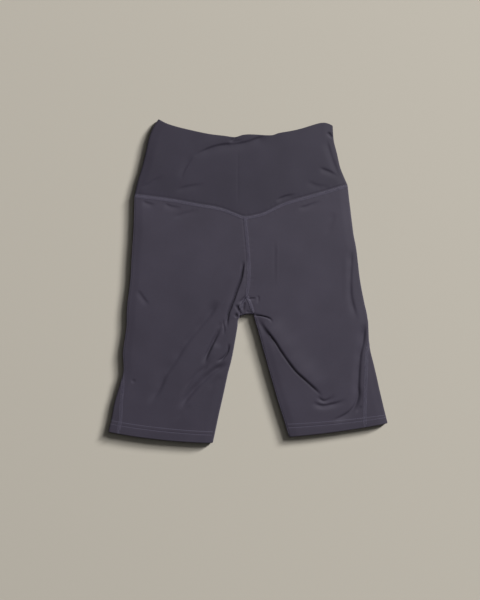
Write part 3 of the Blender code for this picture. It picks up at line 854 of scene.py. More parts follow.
@dataclass
class LegTube(Tube):
    """A leg, from its outer folded edge to its inner edge."""

    sections: tuple[Row, ...] = LEFT_LEG
    top: tuple[Row, ...] = YOKE_SEAM_UPPER
    centre: tuple[Row, ...] = CENTRE_SEAM_UPPER
    hem: Hem = HEMS[Side.LEFT]

    def __post_init__(self) -> None:
        """Reads the tables once."""
        self.table = Table(self.sections)
        self.seam_line = Table(self.top)
        self.centre_line = Table(self.centre)

    def edges(self, station: Array) -> list[Array]:
        """Reads both edges, the inner one from the centre seam where it lies on it.

        Args:
            station: Stations along the leg, which are the outer edge's y.

        Returns:
            Outer x, outer y, inner x and inner y at each station.
        """
        outer_x, inner_x, inner_y = self.table.at(station)[:3]
        on_seam = self.centre_line.at(inner_y)[0]
        inner_x = np.where(inner_y > self.centre[-1][0], on_seam, inner_x)
        return [outer_x, np.asarray(station, float), inner_x, inner_y]

    def bow(self, share: Array, station: Array) -> Array:
        """Bows the rows, from the yoke seam's shape to the hem's.

        Args:
            share: Shares of the way from the outer edge to the inner one.
            station: Stations along the leg.

        Returns:
            How far each place leaves the straight line between its row's ends.
        """
        down = (self.first - station) / (self.first - self.last)
        held = np.clip(share, 0.0, 1.0)
        ax, ay, bx, by = self.edges(np.array(self.first))
        top = self.seam_line.at(ax + held * (bx - ax))[0] - (ay + held * (by - ay))
        hem = -self.hem.bow * 4 * held * (1 - held)
        return (1 - ease(YOKE_FADE * down)) * top + np.clip(down, 0.0, 1.0) ** 3 * hem

    def roll(self, station: Array) -> Array:
        """Share of a quarter turn at the inner edge."""
        return ease(self.table.at(station)[3])

    def swell(self, station: Array) -> Array | float:
        """Raises the turned hem a little over the leg and sinks its stitches in.

        Args:
            station: Stations along the leg.

        Returns:
            The height at each station over the plain leg.
        """
        up = station - self.last
        raised = HEM_SWELL * ease((self.hem.depth + HEM_PAST - up) / HEM_RISE)
        for row in self.hem.rows:
            raised = raised - STITCH_SINK * bell((up - row) / STITCH_SINK_WIDTH)
        return raised

    def channel(self, x: Array, y: Array, station: Array) -> Array:
        """Draws the under face up along its seams and the hem's stitches.

        Args:
            x: Places across the shorts.
            y: Places along the shorts.
            station: Their stations along the leg.

        Returns:
            How far the face is drawn up at each place.
        """
        drawn = super().channel(x, y, station)
        for row in self.hem.rows:
            near = bell((station - self.last - row) / STITCH_CHANNEL_WIDTH)
            drawn = np.maximum(drawn, UNDER_CHANNEL * near)
        return drawn

    def side_seam(self, station: Array) -> Array:
        """Arc of the side seam, on the upper face where it isn't at the folded edge."""
        return np.maximum(self.table.at(station)[4], 0.0)


def with_inner(table: tuple[Row, ...], inner: tuple[Row, ...], crotch: float) -> tuple[Row, ...]:
    """The sections of an under panel: its own inner edge above the crotch, the leg's own below.

    Args:
        table: The leg's sections.
        inner: The inner edge above the crotch.
        crotch: Outer y of the section that passes the crotch.

    Returns:
        The sections.
    """
    outer = Table(table)
    above = []
    for outer_y, inner_x, inner_y in inner:
        above.append((outer_y, float(outer.at(outer_y)[0]), inner_x, inner_y, 0.0, 0.0))
    return tuple(above) + tuple(row for row in table if row[0] <= crotch)


def shade(colour: tuple[float, float, float], share: float) -> tuple[float, ...]:
    """A share of a colour, opaque."""
    return (*[share * value for value in colour], 1.0)


@dataclass(frozen=True)
class KnitFinish:
    """A smooth matt stretch knit, with wales, courses and a faint unevenness of tone.

    The wales, the courses and the depth of the loops are in millimetres. The darkest and the lightest
    spots have these shares of the colour.
    """

    name: str
    colour: tuple[float, float, float]
    darkest: float = 0.9
    lightest: float = 1.12
    roughness: float = 0.62
    roughness_spread: float = 0.05
    sheen: float = 0.05
    wale: float = 0.75
    course: float = 0.62
    depth: float = 0.05

    def material(self) -> bpy.types.Material:
        """Makes the material.

        Returns:
            A node material with the knit's tone, roughness and relief.
        """
        made = bpy.data.materials.new(self.name)
        made.use_nodes = True
        nodes, links = made.node_tree.nodes, made.node_tree.links
        surface = nodes["Principled BSDF"]
        surface.inputs["Sheen Weight"].default_value = self.sheen
        surface.inputs["Sheen Roughness"].default_value = 0.45
        surface.inputs["Specular IOR Level"].default_value = 0.2
        surface.inputs["Metallic"].default_value = 0.0
        place = nodes.new("ShaderNodeTexCoord")

        broad = nodes.new("ShaderNodeTexNoise")
        broad.inputs["Scale"].default_value = 14.0
        broad.inputs["Detail"].default_value = 3.0
        fine = nodes.new("ShaderNodeTexNoise")
        fine.inputs["Scale"].default_value = 520.0
        fine.inputs["Detail"].default_value = 2.0
        links.new(place.outputs["Object"], broad.inputs["Vector"])
        links.new(place.outputs["Object"], fine.inputs["Vector"])
        blend = nodes.new("ShaderNodeMath")
        blend.operation = "MULTIPLY_ADD"
        blend.inputs[1].default_value = 0.6
        links.new(fine.outputs["Fac"], blend.inputs[0])
        links.new(broad.outputs["Fac"], blend.inputs[2])
        tone = nodes.new("ShaderNodeValToRGB")
        tone.color_ramp.elements[0].position = 0.45
        tone.color_ramp.elements[1].position = 1.15
        tone.color_ramp.elements[0].color = shade(self.colour, self.darkest)
        tone.color_ramp.elements[1].color = shade(self.colour, self.lightest)
        links.new(blend.outputs[0], tone.inputs["Fac"])
        links.new(tone.outputs["Color"], surface.inputs["Base Color"])

        matt = nodes.new("ShaderNodeMapRange")
        matt.inputs["To Min"].default_value = self.roughness - self.roughness_spread
        matt.inputs["To Max"].default_value = self.roughness + self.roughness_spread
        links.new(fine.outputs["Fac"], matt.inputs["Value"])
        links.new(matt.outputs["Result"], surface.inputs["Roughness"])

        wales = self.bands(nodes, "X", self.wale)
        courses = self.bands(nodes, "Y", self.course)
        links.new(place.outputs["Object"], wales.inputs["Vector"])
        links.new(place.outputs["Object"], courses.inputs["Vector"])
        loops = nodes.new("ShaderNodeMath")
        loops.operation = "MULTIPLY"
        links.new(wales.outputs["Fac"], loops.inputs[0])
        links.new(courses.outputs["Fac"], loops.inputs[1])
        bump = nodes.new("ShaderNodeBump")
        bump.inputs["Strength"].default_value = 0.35
        bump.inputs["Distance"].default_value = self.depth * MM
        links.new(loops.outputs[0], bump.inputs["Height"])
        links.new(bump.outputs["Normal"], surface.inputs["Normal"])
        return made

    def bands(self, nodes: bpy.types.Nodes, axis: str, period: float) -> bpy.types.Node:
        """Adds a wave texture with bands across an axis.

        Args:
            nodes: The material's nodes.
            axis: The axis.
            period: Distance between the bands, in millimetres.

        Returns:
            The wave texture.
        """
        wave = nodes.new("ShaderNodeTexWave")
        wave.bands_direction = axis
        wave.inputs["Scale"].default_value = 2 * math.pi / (20 * period * MM)
        wave.inputs["Distortion"].default_value = 0.4
        wave.inputs["Detail"].default_value = 0.0
        return wave


@dataclass(frozen=True)
class ThreadFinish:
    """Sewing thread: a little lighter and smoother than the knit.

    The darkest and the lightest spots have these shares of the colour, and the depth of the thread's
    plies is in millimetres.
    """

    name: str
    colour: tuple[float, float, float]
    darkest: float = 0.82
    lightest: float = 1.15
    roughness: float = 0.5
    depth: float = 0.05

    def material(self) -> bpy.types.Material:
        """Makes the material.

        Returns:
            A node material with the thread's tone and fine plies.
        """
        made = bpy.data.materials.new(self.name)
        made.use_nodes = True
        nodes, links = made.node_tree.nodes, made.node_tree.links
        surface = nodes["Principled BSDF"]
        surface.inputs["Roughness"].default_value = self.roughness
        surface.inputs["Sheen Weight"].default_value = 0.2
        place = nodes.new("ShaderNodeTexCoord")
        noise = nodes.new("ShaderNodeTexNoise")
        noise.inputs["Scale"].default_value = 900.0
        links.new(place.outputs["Object"], noise.inputs["Vector"])
        tone = nodes.new("ShaderNodeValToRGB")
        tone.color_ramp.elements[0].position = 0.3
        tone.color_ramp.elements[1].position = 0.7
        tone.color_ramp.elements[0].color = shade(self.colour, self.darkest)
        tone.color_ramp.elements[1].color = shade(self.colour, self.lightest)
        links.new(noise.outputs["Fac"], tone.inputs["Fac"])
        links.new(tone.outputs["Color"], surface.inputs["Base Color"])
        bump = nodes.new("ShaderNodeBump")
        bump.inputs["Strength"].default_value = 0.3
        bump.inputs["Distance"].default_value = self.depth * MM
        links.new(noise.outputs["Fac"], bump.inputs["Height"])
        links.new(bump.outputs["Normal"], surface.inputs["Normal"])
        return made


@dataclass(frozen=True)
class FloorFinish:
    """A plain pale floor."""

    colour: tuple[float, float, float] = (0.50, 0.465, 0.40)

    def material(self) -> bpy.types.Material:
        """Makes the material.

        Returns:
            A matt material of one colour.
        """
        made = bpy.data.materials.new("plain_floor")
        made.use_nodes = True
        surface = made.node_tree.nodes["Principled BSDF"]
        surface.inputs["Base Color"].default_value = shade(self.colour, 1.0)
        surface.inputs["Roughness"].default_value = 0.95
        surface.inputs["Specular IOR Level"].default_value = 0.1
        return made


def dress(piece: bpy.types.Object, material: bpy.types.Material, slot: str) -> None:
    """Gives a piece its finish and makes it part of the shorts.

    Args:
        piece: The piece.
        material: Its material.
        slot: The record's material slot; not used.
    """
    piece.data.materials.append(material)
    bpy.context.scene.collection.objects.link(piece)
    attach(piece, BODY)


def spaced(start: float, end: float, cell: float, fine: Sequence[float]) -> Array:
    """Values from start to end, closer near both ends.

    Args:
        start: The first value.
        end: The last value.
        cell: Distance between values away from the ends.
        fine: Distances from each end at which a value lies.

    Returns:
        The values.
    """
    sign = 1.0 if end > start else -1.0
    close = np.array(fine)
    inner = np.linspace(
        start + sign * close[-1],
        end - sign * close[-1],
        max(int(round(abs(end - start) / cell)), 2) + 1,
    )
    return np.concatenate([start + sign * close[:-1], inner, (end - sign * close[:-1])[::-1]])


def shares(width: float, cell: float) -> Array:
    """Shares of the way across a panel, closer near both ends.

    Args:
        width: The panel's width.
        cell: Distance between columns away from the ends.

    Returns:
        The shares, from 0 to 1.
    """
    return spaced(0.0, 1.0, cell / width, tuple(value / width for value in CLOTH.edge_rows))


@dataclass
class Sheet:
    """One panel of cloth as a closed wall with rounded edges, laid over a tube.

    Each place on it has an arc, a station, a thickness, a distance from the nearest seam and a distance
    from the nearest open edge. The shift moves it along the shorts, to leave half a seam's gap. The
    round shares are how far each rounding goes, 1 being a full quarter or half turn.
    """

    name: str
    tube: Tube
    arcs: Array
    stations: Array
    wall: Array
    seam_rim: Array
    open_rim: Array
    shift: Array | float = 0.0
    seam_share: float = 0.94
    open_share: float = 0.97

    def depths(self) -> tuple[Array, Array]:
        """Finds how deep both faces lie, which draw together round every edge.

        Returns:
            The depth of the outer face at each place, and that of the inner one.
        """
        seam_round = CLOTH.seam_round
        short = np.clip(1 - self.seam_rim / seam_round, 0.0, 1.0)
        turned = seam_round * (1 - np.sqrt(1 - (self.seam_share * short) ** 2))
        half = self.wall / 2
        short = np.clip(1 - self.open_rim / half, 0.0, 1.0)
        folded = half * (1 - np.sqrt(1 - (self.open_share * short) ** 2))
        away = np.maximum(turned, folded)
        return away, self.wall - away

    def layers(self) -> tuple[Array, Array]:
        """Finds the points of both faces.

        Returns:
            The grid of points of the outer face, and that of the inner one.
        """
        outer, inner = self.depths()
        faces = []
        for depth in (outer, inner):
            points = self.tube.points(self.arcs, self.stations, depth)
            points[..., 1] += self.shift
            faces.append(points)
        return faces[0], faces[1]

    def build(self) -> bpy.types.Object:
        """Makes the panel's mesh."""
        return wall_of(self.name, *self.layers())

    def cut_area(self) -> float:
        """Area of the outer face, in square metres."""
        return face_area(self.layers()[0])


def wall_of(name: str, outer: Array, inner: Array) -> bpy.types.Object:
    """Makes a closed wall, from a flat grid that is extruded once and then moved into shape.

    Args:
        name: The piece's name.
        outer: Points of the outer face, in rows.
        inner: Points of the inner face, in as many rows.

    Returns:
        The piece.
    """
    rows, columns = outer.shape[:2]
    mesh = bpy.data.meshes.new(name)
    bm = bmesh.new()
    bmesh.ops.create_grid(bm, x_segments=columns - 1, y_segments=rows - 1, size=0.5)

    def cell(vert: bmesh.types.BMVert) -> tuple[int, int]:
        """Row and column of a vertex of the flat grid."""
        return round((vert.co.y + 0.5) * (rows - 1)), round((vert.co.x + 0.5) * (columns - 1))

    shown = [(vert, cell(vert)) for vert in bm.verts]
    grown = bmesh.ops.extrude_face_region(bm, geom=bm.faces[:], use_keep_orig=True)
    hidden = [(v, cell(v)) for v in grown["geom"] if isinstance(v, bmesh.types.BMVert)]
    for verts, points in ((shown, outer), (hidden, inner)):
        placed = in_metres(points)
        for vert, (row, column) in verts:
            vert.co = placed[row, column]
    bmesh.ops.recalc_face_normals(bm, faces=bm.faces[:])
    if bm.calc_volume(signed=True) < 0:
        bmesh.ops.reverse_faces(bm, faces=bm.faces[:])
    for face in bm.faces:
        face.smooth = True
    bm.to_mesh(mesh)
    bm.free()
    return bpy.data.objects.new(name, mesh)


@dataclass
class Stitching:
    """Rows of separate stitches, and the threads that cross a seam to and fro between two rows.

    A stitch is an arched thread. Its points lie at the stitch shares of its length, where it stands out
    by the arch shares of its rise and has the thick shares of its radius.
    """

    name: str
    length: float = 2.3
    pitch: float = 2.9
    start: float = 0.3
    radius: float = 0.3
    rise: float = 0.2
    stitch_shares: tuple[float, ...] = (0.0, 0.22, 0.5, 0.78, 1.0)
    arch_shares: tuple[float, ...] = (-1.1, 0.35, 0.75, 0.35, -1.1)
    thick_shares: tuple[float, ...] = (0.45, 0.95, 1.0, 0.95, 0.45)
    cover_pitch: float = 1.9
    cover_thick: float = 0.72
    cover_reach: float = 0.92
    cover_points: int = 5

    def __post_init__(self) -> None:
        """Starts the curve that all the threads are added to."""
        self.curve = bpy.data.curves.new(self.name, "CURVE")
        self.curve.dimensions = "3D"
        self.curve.bevel_depth = self.radius * MM
        self.curve.bevel_resolution = 1
        self.curve.use_fill_caps = True

    def strand(self, points: Array, thick: Sequence[float]) -> None:
        """Adds one thread.

        Args:
            points: Its points, in millimetres.
            thick: Its radius at each point, as a share of the whole radius.
        """
        spline = self.curve.splines.new("POLY")
        spline.points.add(len(points) - 1)
        for item, place, share in zip(spline.points, in_metres(points), thick):
            item.co = (*place, 1.0)
            item.radius = share

    def row(self, line: Array, outward: float) -> None:
        """Adds one row of stitches, each a short arched thread that dips into the cloth at its ends.

        Args:
            line: Points on the cloth's face, about a millimetre apart.
            outward: 1 where the face looks up, and -1 where it looks down.
        """
        steps = np.linalg.norm(np.diff(line, axis=0), axis=1)
        along = np.concatenate([[0.0], np.cumsum(steps)])
        count = int((along[-1] - self.length) / self.pitch)
        for index in range(max(count, 0)):
            at = self.start + index * self.pitch + self.length * np.array(self.stitch_shares)
            points = np.stack([np.interp(at, along, line[:, k]) for k in range(3)], axis=1)
            points[:, 2] += outward * self.rise * np.array(self.arch_shares)
            self.strand(points, self.thick_shares)

    def flat_seam(self, across: Across, start: float, end: float, outward: float) -> None:
        """Sews a flat seam: a row on each side of the join, and a thread to and fro over it.

        Args:
            across: Finds points of the face from shares across the seam, -1 to 1, and places along.
            start: Where along it begins.
            end: Where along it ends.
            outward: 1 where the face looks up, and -1 where it looks down.
        """
        along = np.linspace(start, end, max(int(abs(end - start)), 2) + 1)
        for side in (-1.0, 1.0):
            self.row(across(np.full(along.shape, side), along), outward)
        turns = int(2 * abs(end - start) / self.cover_pitch)
        at = np.arange(turns * self.cover_points + 1) / self.cover_points
        share = 1 - 2 * np.abs(at % 2 - 1)
        points = across(self.cover_reach * share, start + (end - start) * at / turns)
        points[:, 2] += outward * self.cover_thick * self.radius / 2
        self.strand(points, [self.cover_thick] * len(points))

    def finish(self, finish: bpy.types.Material, slot: str) -> bpy.types.Object:
        """Makes the piece from its threads.

        Args:
            finish: The thread's material.
            slot: The record's material slot.

        Returns:
            The piece.
        """
        piece = bpy.data.objects.new(self.name, self.curve)
        dress(piece, finish, slot)
        LOG.info("%s: %d threads", piece.name, len(self.curve.splines))
        return piece


@dataclass
class Waistband:
    """Both halves of the two-ply waistband, with its folded top edge.

    The width is a typical one, which sets how many columns of cells there are.
    """

    relief: Relief
    finish: bpy.types.Material
    slot: str = "band_cloth"
    cell: float = 1.35
    under_cell: float = 3.2
    width: float = 330.0

    def tube(self, face: Face) -> BandTube:
        """Makes the waistband's tube, as its upper or its under half ends below.

        Args:
            face: Which half.

        Returns:
            The tube.
        """
        bottom = YOKE_SEAM_UPPER if face is Face.UPPER else YOKE_SEAM_UNDER
        line = np.array(YOKE_SEAM_UNDER)
        return BandTube(0.0, BAND_SIDES[-1][0], self.relief, [line], bottom=bottom)

    def half(self, face: Face) -> Sheet:
        """One half, as a sheet over its tube.

        Args:
            face: Which half.

        Returns:
            The sheet.
        """
        upper = face is Face.UPPER
        tube = self.tube(face)
        last = tube.last
        cell = self.cell if upper else self.under_cell
        stations = spaced(0.0, last, cell, CLOTH.edge_rows)
        half_gap = CLOTH.seam_gap / 2
        share = shares(self.width, cell)
        whole = tube.whole(stations)
        arcs = half_gap + share[None, :] * (whole[:, None] - 2 * half_gap)
        rows = np.broadcast_to(stations[:, None], arcs.shape)
        side_rim = np.minimum(arcs - half_gap, whole[:, None] - half_gap - arcs)
        seam_rim = np.minimum(side_rim, last - rows)
        wall = np.full(arcs.shape, CLOTH.band)
        shift = np.where(rows >= last - TINY, half_gap, 0.0)
        signed = arcs if upper else -arcs
        return Sheet(f"band_{face.value}", tube, signed, rows, wall, seam_rim, rows * 1.0, shift)

    def build(self) -> list[bpy.types.Object]:
        """Makes and dresses both halves.

        Returns:
            The upper half and the under one.
        """
        pieces = []
        for face in Face:
            sheet = self.half(face)
            piece = sheet.build()
            dress(piece, self.finish, self.slot)
            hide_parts(f"waistband_{face.value}")
            pieces.append(piece)
            area = sheet.cut_area()
            LOG.info("%s: %.4f square metres", piece.name, area)
        return pieces


@dataclass
class Leg:
    """Both panels of one leg, with the turned hem.

    The width is a typical one, which sets how many columns of cells there are. The wrap cells go round
    the folded edge from the side seam.
    """

    side: Side
    relief: Relief
    finish: bpy.types.Material
    slot: str = "leg_cloth"
    cell: float = 1.35
    under_cell: float = 3.4
    width: float = 190.0
    wrap_cells: int = 28

    def sections(self) -> tuple[Row, ...]:
        """The leg's sections."""
        return LEFT_LEG if self.side is Side.LEFT else RIGHT_LEG

    def tube(self, face: Face) -> LegTube:
        """The leg's tube, as its upper or its under panel ends inside.

        Args:
            face: Which panel.

        Returns:
            The tube.
        """
        table = self.sections()
        hem = HEMS[self.side]
        first, last = table[0][0], table[-1][0]
        under_seams = [np.array(YOKE_SEAM_UNDER), np.array([(x, y) for y, x in CENTRE_SEAM_UNDER])]
        if face is Face.UPPER:
            return LegTube(first, last, self.relief, under_seams, sections=table, hem=hem)
        inner = LEFT_UNDER_INNER if self.side is Side.LEFT else RIGHT_UNDER_INNER
        joined = with_inner(table, inner, CROTCH[self.side])
        return LegTube(
            first,
            last,
            self.relief,
            under_seams,
            sections=joined,
            top=YOKE_SEAM_UNDER,
            centre=CENTRE_SEAM_UNDER,
            hem=hem,
        )

    def panel(self, face: Face) -> Sheet:
        """One panel, as a sheet over its tube.

        Args:
            face: Which panel.

        Returns:
            The sheet.
        """
        tube = self.tube(face)
        upper = face is Face.UPPER
        cell = self.cell if upper else self.under_cell
        hem_top = tube.last + tube.hem.depth
        body = spaced(tube.first, hem_top + CLOTH.hem_step, cell, CLOTH.edge_rows)
        hem = spaced(hem_top, tube.last, cell, CLOTH.edge_rows)
        stations = np.concatenate([body, hem])
        half_gap = CLOTH.seam_gap / 2
        whole = tube.whole(stations)
        seam = Table(self.sections()).at(stations)[4].clip(0.0)
        share = shares(self.width, cell)
        if upper:
            start, end = seam + half_gap, whole - half_gap
            arcs = start[:, None] + share[None, :] * (end - start)[:, None]
        else:
            wrap = np.linspace(0.0, 1.0, self.wrap_cells + 1)[:-1]
            quarter = CLOTH.edge_radius * math.pi / 2
            start = seam - half_gap
            turned = start[:, None] - wrap[None, :] * (start + quarter)[:, None]
            rest = -quarter - share[None, :] * (whole - half_gap - quarter)[:, None]
            arcs = np.concatenate([turned, rest], axis=1)
        rows = np.broadcast_to(stations[:, None], arcs.shape)
        seam_rim = np.minimum(np.abs(arcs - arcs[:, :1]), np.abs(arcs[:, -1:] - arcs))
        seam_rim = np.minimum(seam_rim, tube.first - rows)
        thick = ease((hem_top + CLOTH.hem_step - rows) / CLOTH.hem_step)
        wall = CLOTH.leg + (CLOTH.hem - CLOTH.leg) * thick
        shift = np.where(rows >= tube.first - TINY, -half_gap, 0.0)
        name = f"{self.side.value}_{face.value}_panel"
        return Sheet(name, tube, arcs, rows, wall, seam_rim, rows - tube.last, shift)

    def build(self) -> list[bpy.types.Object]:
        """Makes and dresses both panels.

        Returns:
            The upper panel and the under one.
        """
        pieces = []
        for face in Face:
            sheet = self.panel(face)
            piece = sheet.build()
            dress(piece, self.finish, self.slot)
            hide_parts(f"{self.side.value}_leg_{face.value}")
            area = sheet.cut_area()
            pieces.append(piece)
            LOG.info("%s: %.4f square metres", piece.name, area)
        return pieces


@dataclass
class Gusset:
    """The crotch gusset, folded over between the legs.

    The fold bow is how far its folded edge bows up. The tip is the share of its length that is wide
    enough to cut, and the gap is left beside both its seams. The stitches start at the line start, a
    share of the quarter turn from the middle of the fold.
    """

    legs: dict[Side, Leg]
    relief: Relief
    finish: bpy.types.Material
    slot: str = "leg_cloth"
    fold_bow: float = 1.6
    tip: float = 0.93
    gap: float = 0.1
    line_start: float = 0.6
    columns: int = 27
    turn_cells: int = 8
    flat_cells: int = 25

    def length(self, face: Face) -> float:
        """Works out how long the gusset is.

        Args:
            face: The upper or the under half of it.

        Returns:
            The distance from its folded edge to its point.
        """
        tube = self.legs[Side.LEFT].tube(face)
        ends = tube.edges(np.array([CROTCH[Side.LEFT], APEX[Side.LEFT, face]]))
        return float(math.hypot(ends[2][1] - ends[2][0], ends[3][1] - ends[3][0]))

    def points(self, arc: Array, side: Array, depth: Array | float) -> Array:
        """Finds points in the gusset.

        Args:
            arc: Distances from the middle of the fold, positive above and negative under.
            side: Shares of the way from the left seam to the right one.
            depth: Distances in from the outer face.

        Returns:
            The points in millimetres, with x, y and z last.
        """
        reach, drop, angle = turn(np.abs(arc), np.ones(arc.shape))
        inward = reach + depth * np.sin(angle)
        found = {}
        for face in Face:
            share = np.clip(inward / self.length(face), 0.0, 1.0)
            ends = {}
            for which in Side:
                at = CROTCH[which] + share * (APEX[which, face] - CROTCH[which])
                ends[which] = self.legs[which].tube(face).edges(at)[2:]
            left_x = ends[Side.LEFT][0] + self.gap
            right_x = ends[Side.RIGHT][0] - self.gap
            x = left_x + side * (right_x - left_x)
            y = ends[Side.LEFT][1] + side * (ends[Side.RIGHT][1] - ends[Side.LEFT][1])
            y = y + self.fold_bow * 4 * side * (1 - side) * (1 - share)
            found[face] = (x, y)
        above = arc >= 0
        x = np.where(above, found[Face.UPPER][0], found[Face.UNDER][0])
        y = np.where(above, found[Face.UPPER][1], found[Face.UNDER][1])
        form = self.relief.form(x, y)
        near = ease(reach / CLOTH.fold_reach)
        lift = ease(reach / CLOTH.lift_reach) * CLOTH.lift + near * form[2]
        x = x + np.where(above, near, 0.0) * form[0]
        y = y + np.where(above, near, 0.0) * form[1]
        floor = CLOTH.clearance + 2 * CLOTH.leg - 2 * CLOTH.edge_radius
        lift = kept_above(lift, floor)
        upper = 2 * CLOTH.edge_radius - drop + lift - depth * np.cos(angle)
        under = drop + depth * np.cos(angle)
        return np.stack([x, y, np.where(above, upper, under)], axis=-1)

    def beside(self, side: Side, off: float, count: int) -> Array:
        """Finds a line on the gusset's upper face beside one of its seams.

        Args:
            side: The leg at that seam.
            off: Its distance from the seam.
            count: How many points it has.

        Returns:
            The points, from the fold to the gusset's point.
        """
        quarter = CLOTH.edge_radius * math.pi / 2
        start, end = self.line_start * quarter, quarter + self.tip * self.length(Face.UPPER)
        arc = np.linspace(start, end, count)
        ends = [self.points(arc, np.full(arc.shape, share), 0.0) for share in (0.0, 1.0)]
        width = np.linalg.norm(ends[1] - ends[0], axis=1)
        share = np.minimum(off / width, 0.5)
        return self.points(arc, share if side is Side.LEFT else 1 - share, 0.0)

    def build(self) -> bpy.types.Object:
        """Makes and dresses the gusset.

        Returns:
            The piece.
        """
        quarter = CLOTH.edge_radius * math.pi / 2
        arcs = []
        for face in Face:
            end = quarter + self.tip * self.length(face) - CLOTH.edge_radius
            turned = np.linspace(0.0, quarter, self.turn_cells + 1)
            way = np.concatenate([turned, np.linspace(quarter, end, self.flat_cells + 1)[1:]])
            arcs.append(way if face is Face.UPPER else -way)
        rows = np.concatenate([arcs[0][::-1], arcs[1][1:]])
        side = np.linspace(0.0, 1.0, self.columns)
        arc = np.broadcast_to(rows[:, None], (len(rows), self.columns))
        across = np.broadcast_to(side[None, :], arc.shape)
        outer = self.points(arc, across, 0.0)
        inner = self.points(arc, across, CLOTH.leg)
        piece = wall_of("crotch_gusset", outer, inner)
        dress(piece, self.finish, self.slot)
        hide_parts("gusset")
        return piece


def between(rows: Sequence[Array], key: int) -> Across:
    """A function that finds points over a seam from three lines along it.

    Args:
        rows: Points of the lines at -1, 0 and 1 across the seam.
        key: 0 where places along the seam are values of x, and 1 where they are values of y.

    Returns:
        The function, which takes shares across and places along.
    """
    held = [row[np.argsort(row[:, key])] for row in rows]

    def across(share: Array, along: Array) -> Array:
        """Finds points over the seam.

        Args:
            share: Shares across it, from -1 to 1.
            along: Places along it.

        Returns:
            The points.
        """
        found = [np.stack([np.interp(along, r[:, key], r[:, k]) for k in range(3)], axis=1) for r in held]
        side = np.where((share < 0)[:, None], found[0], found[2])
        part = np.abs(share)[:, None]
        return (1 - part) * found[1] + part * side

    return across


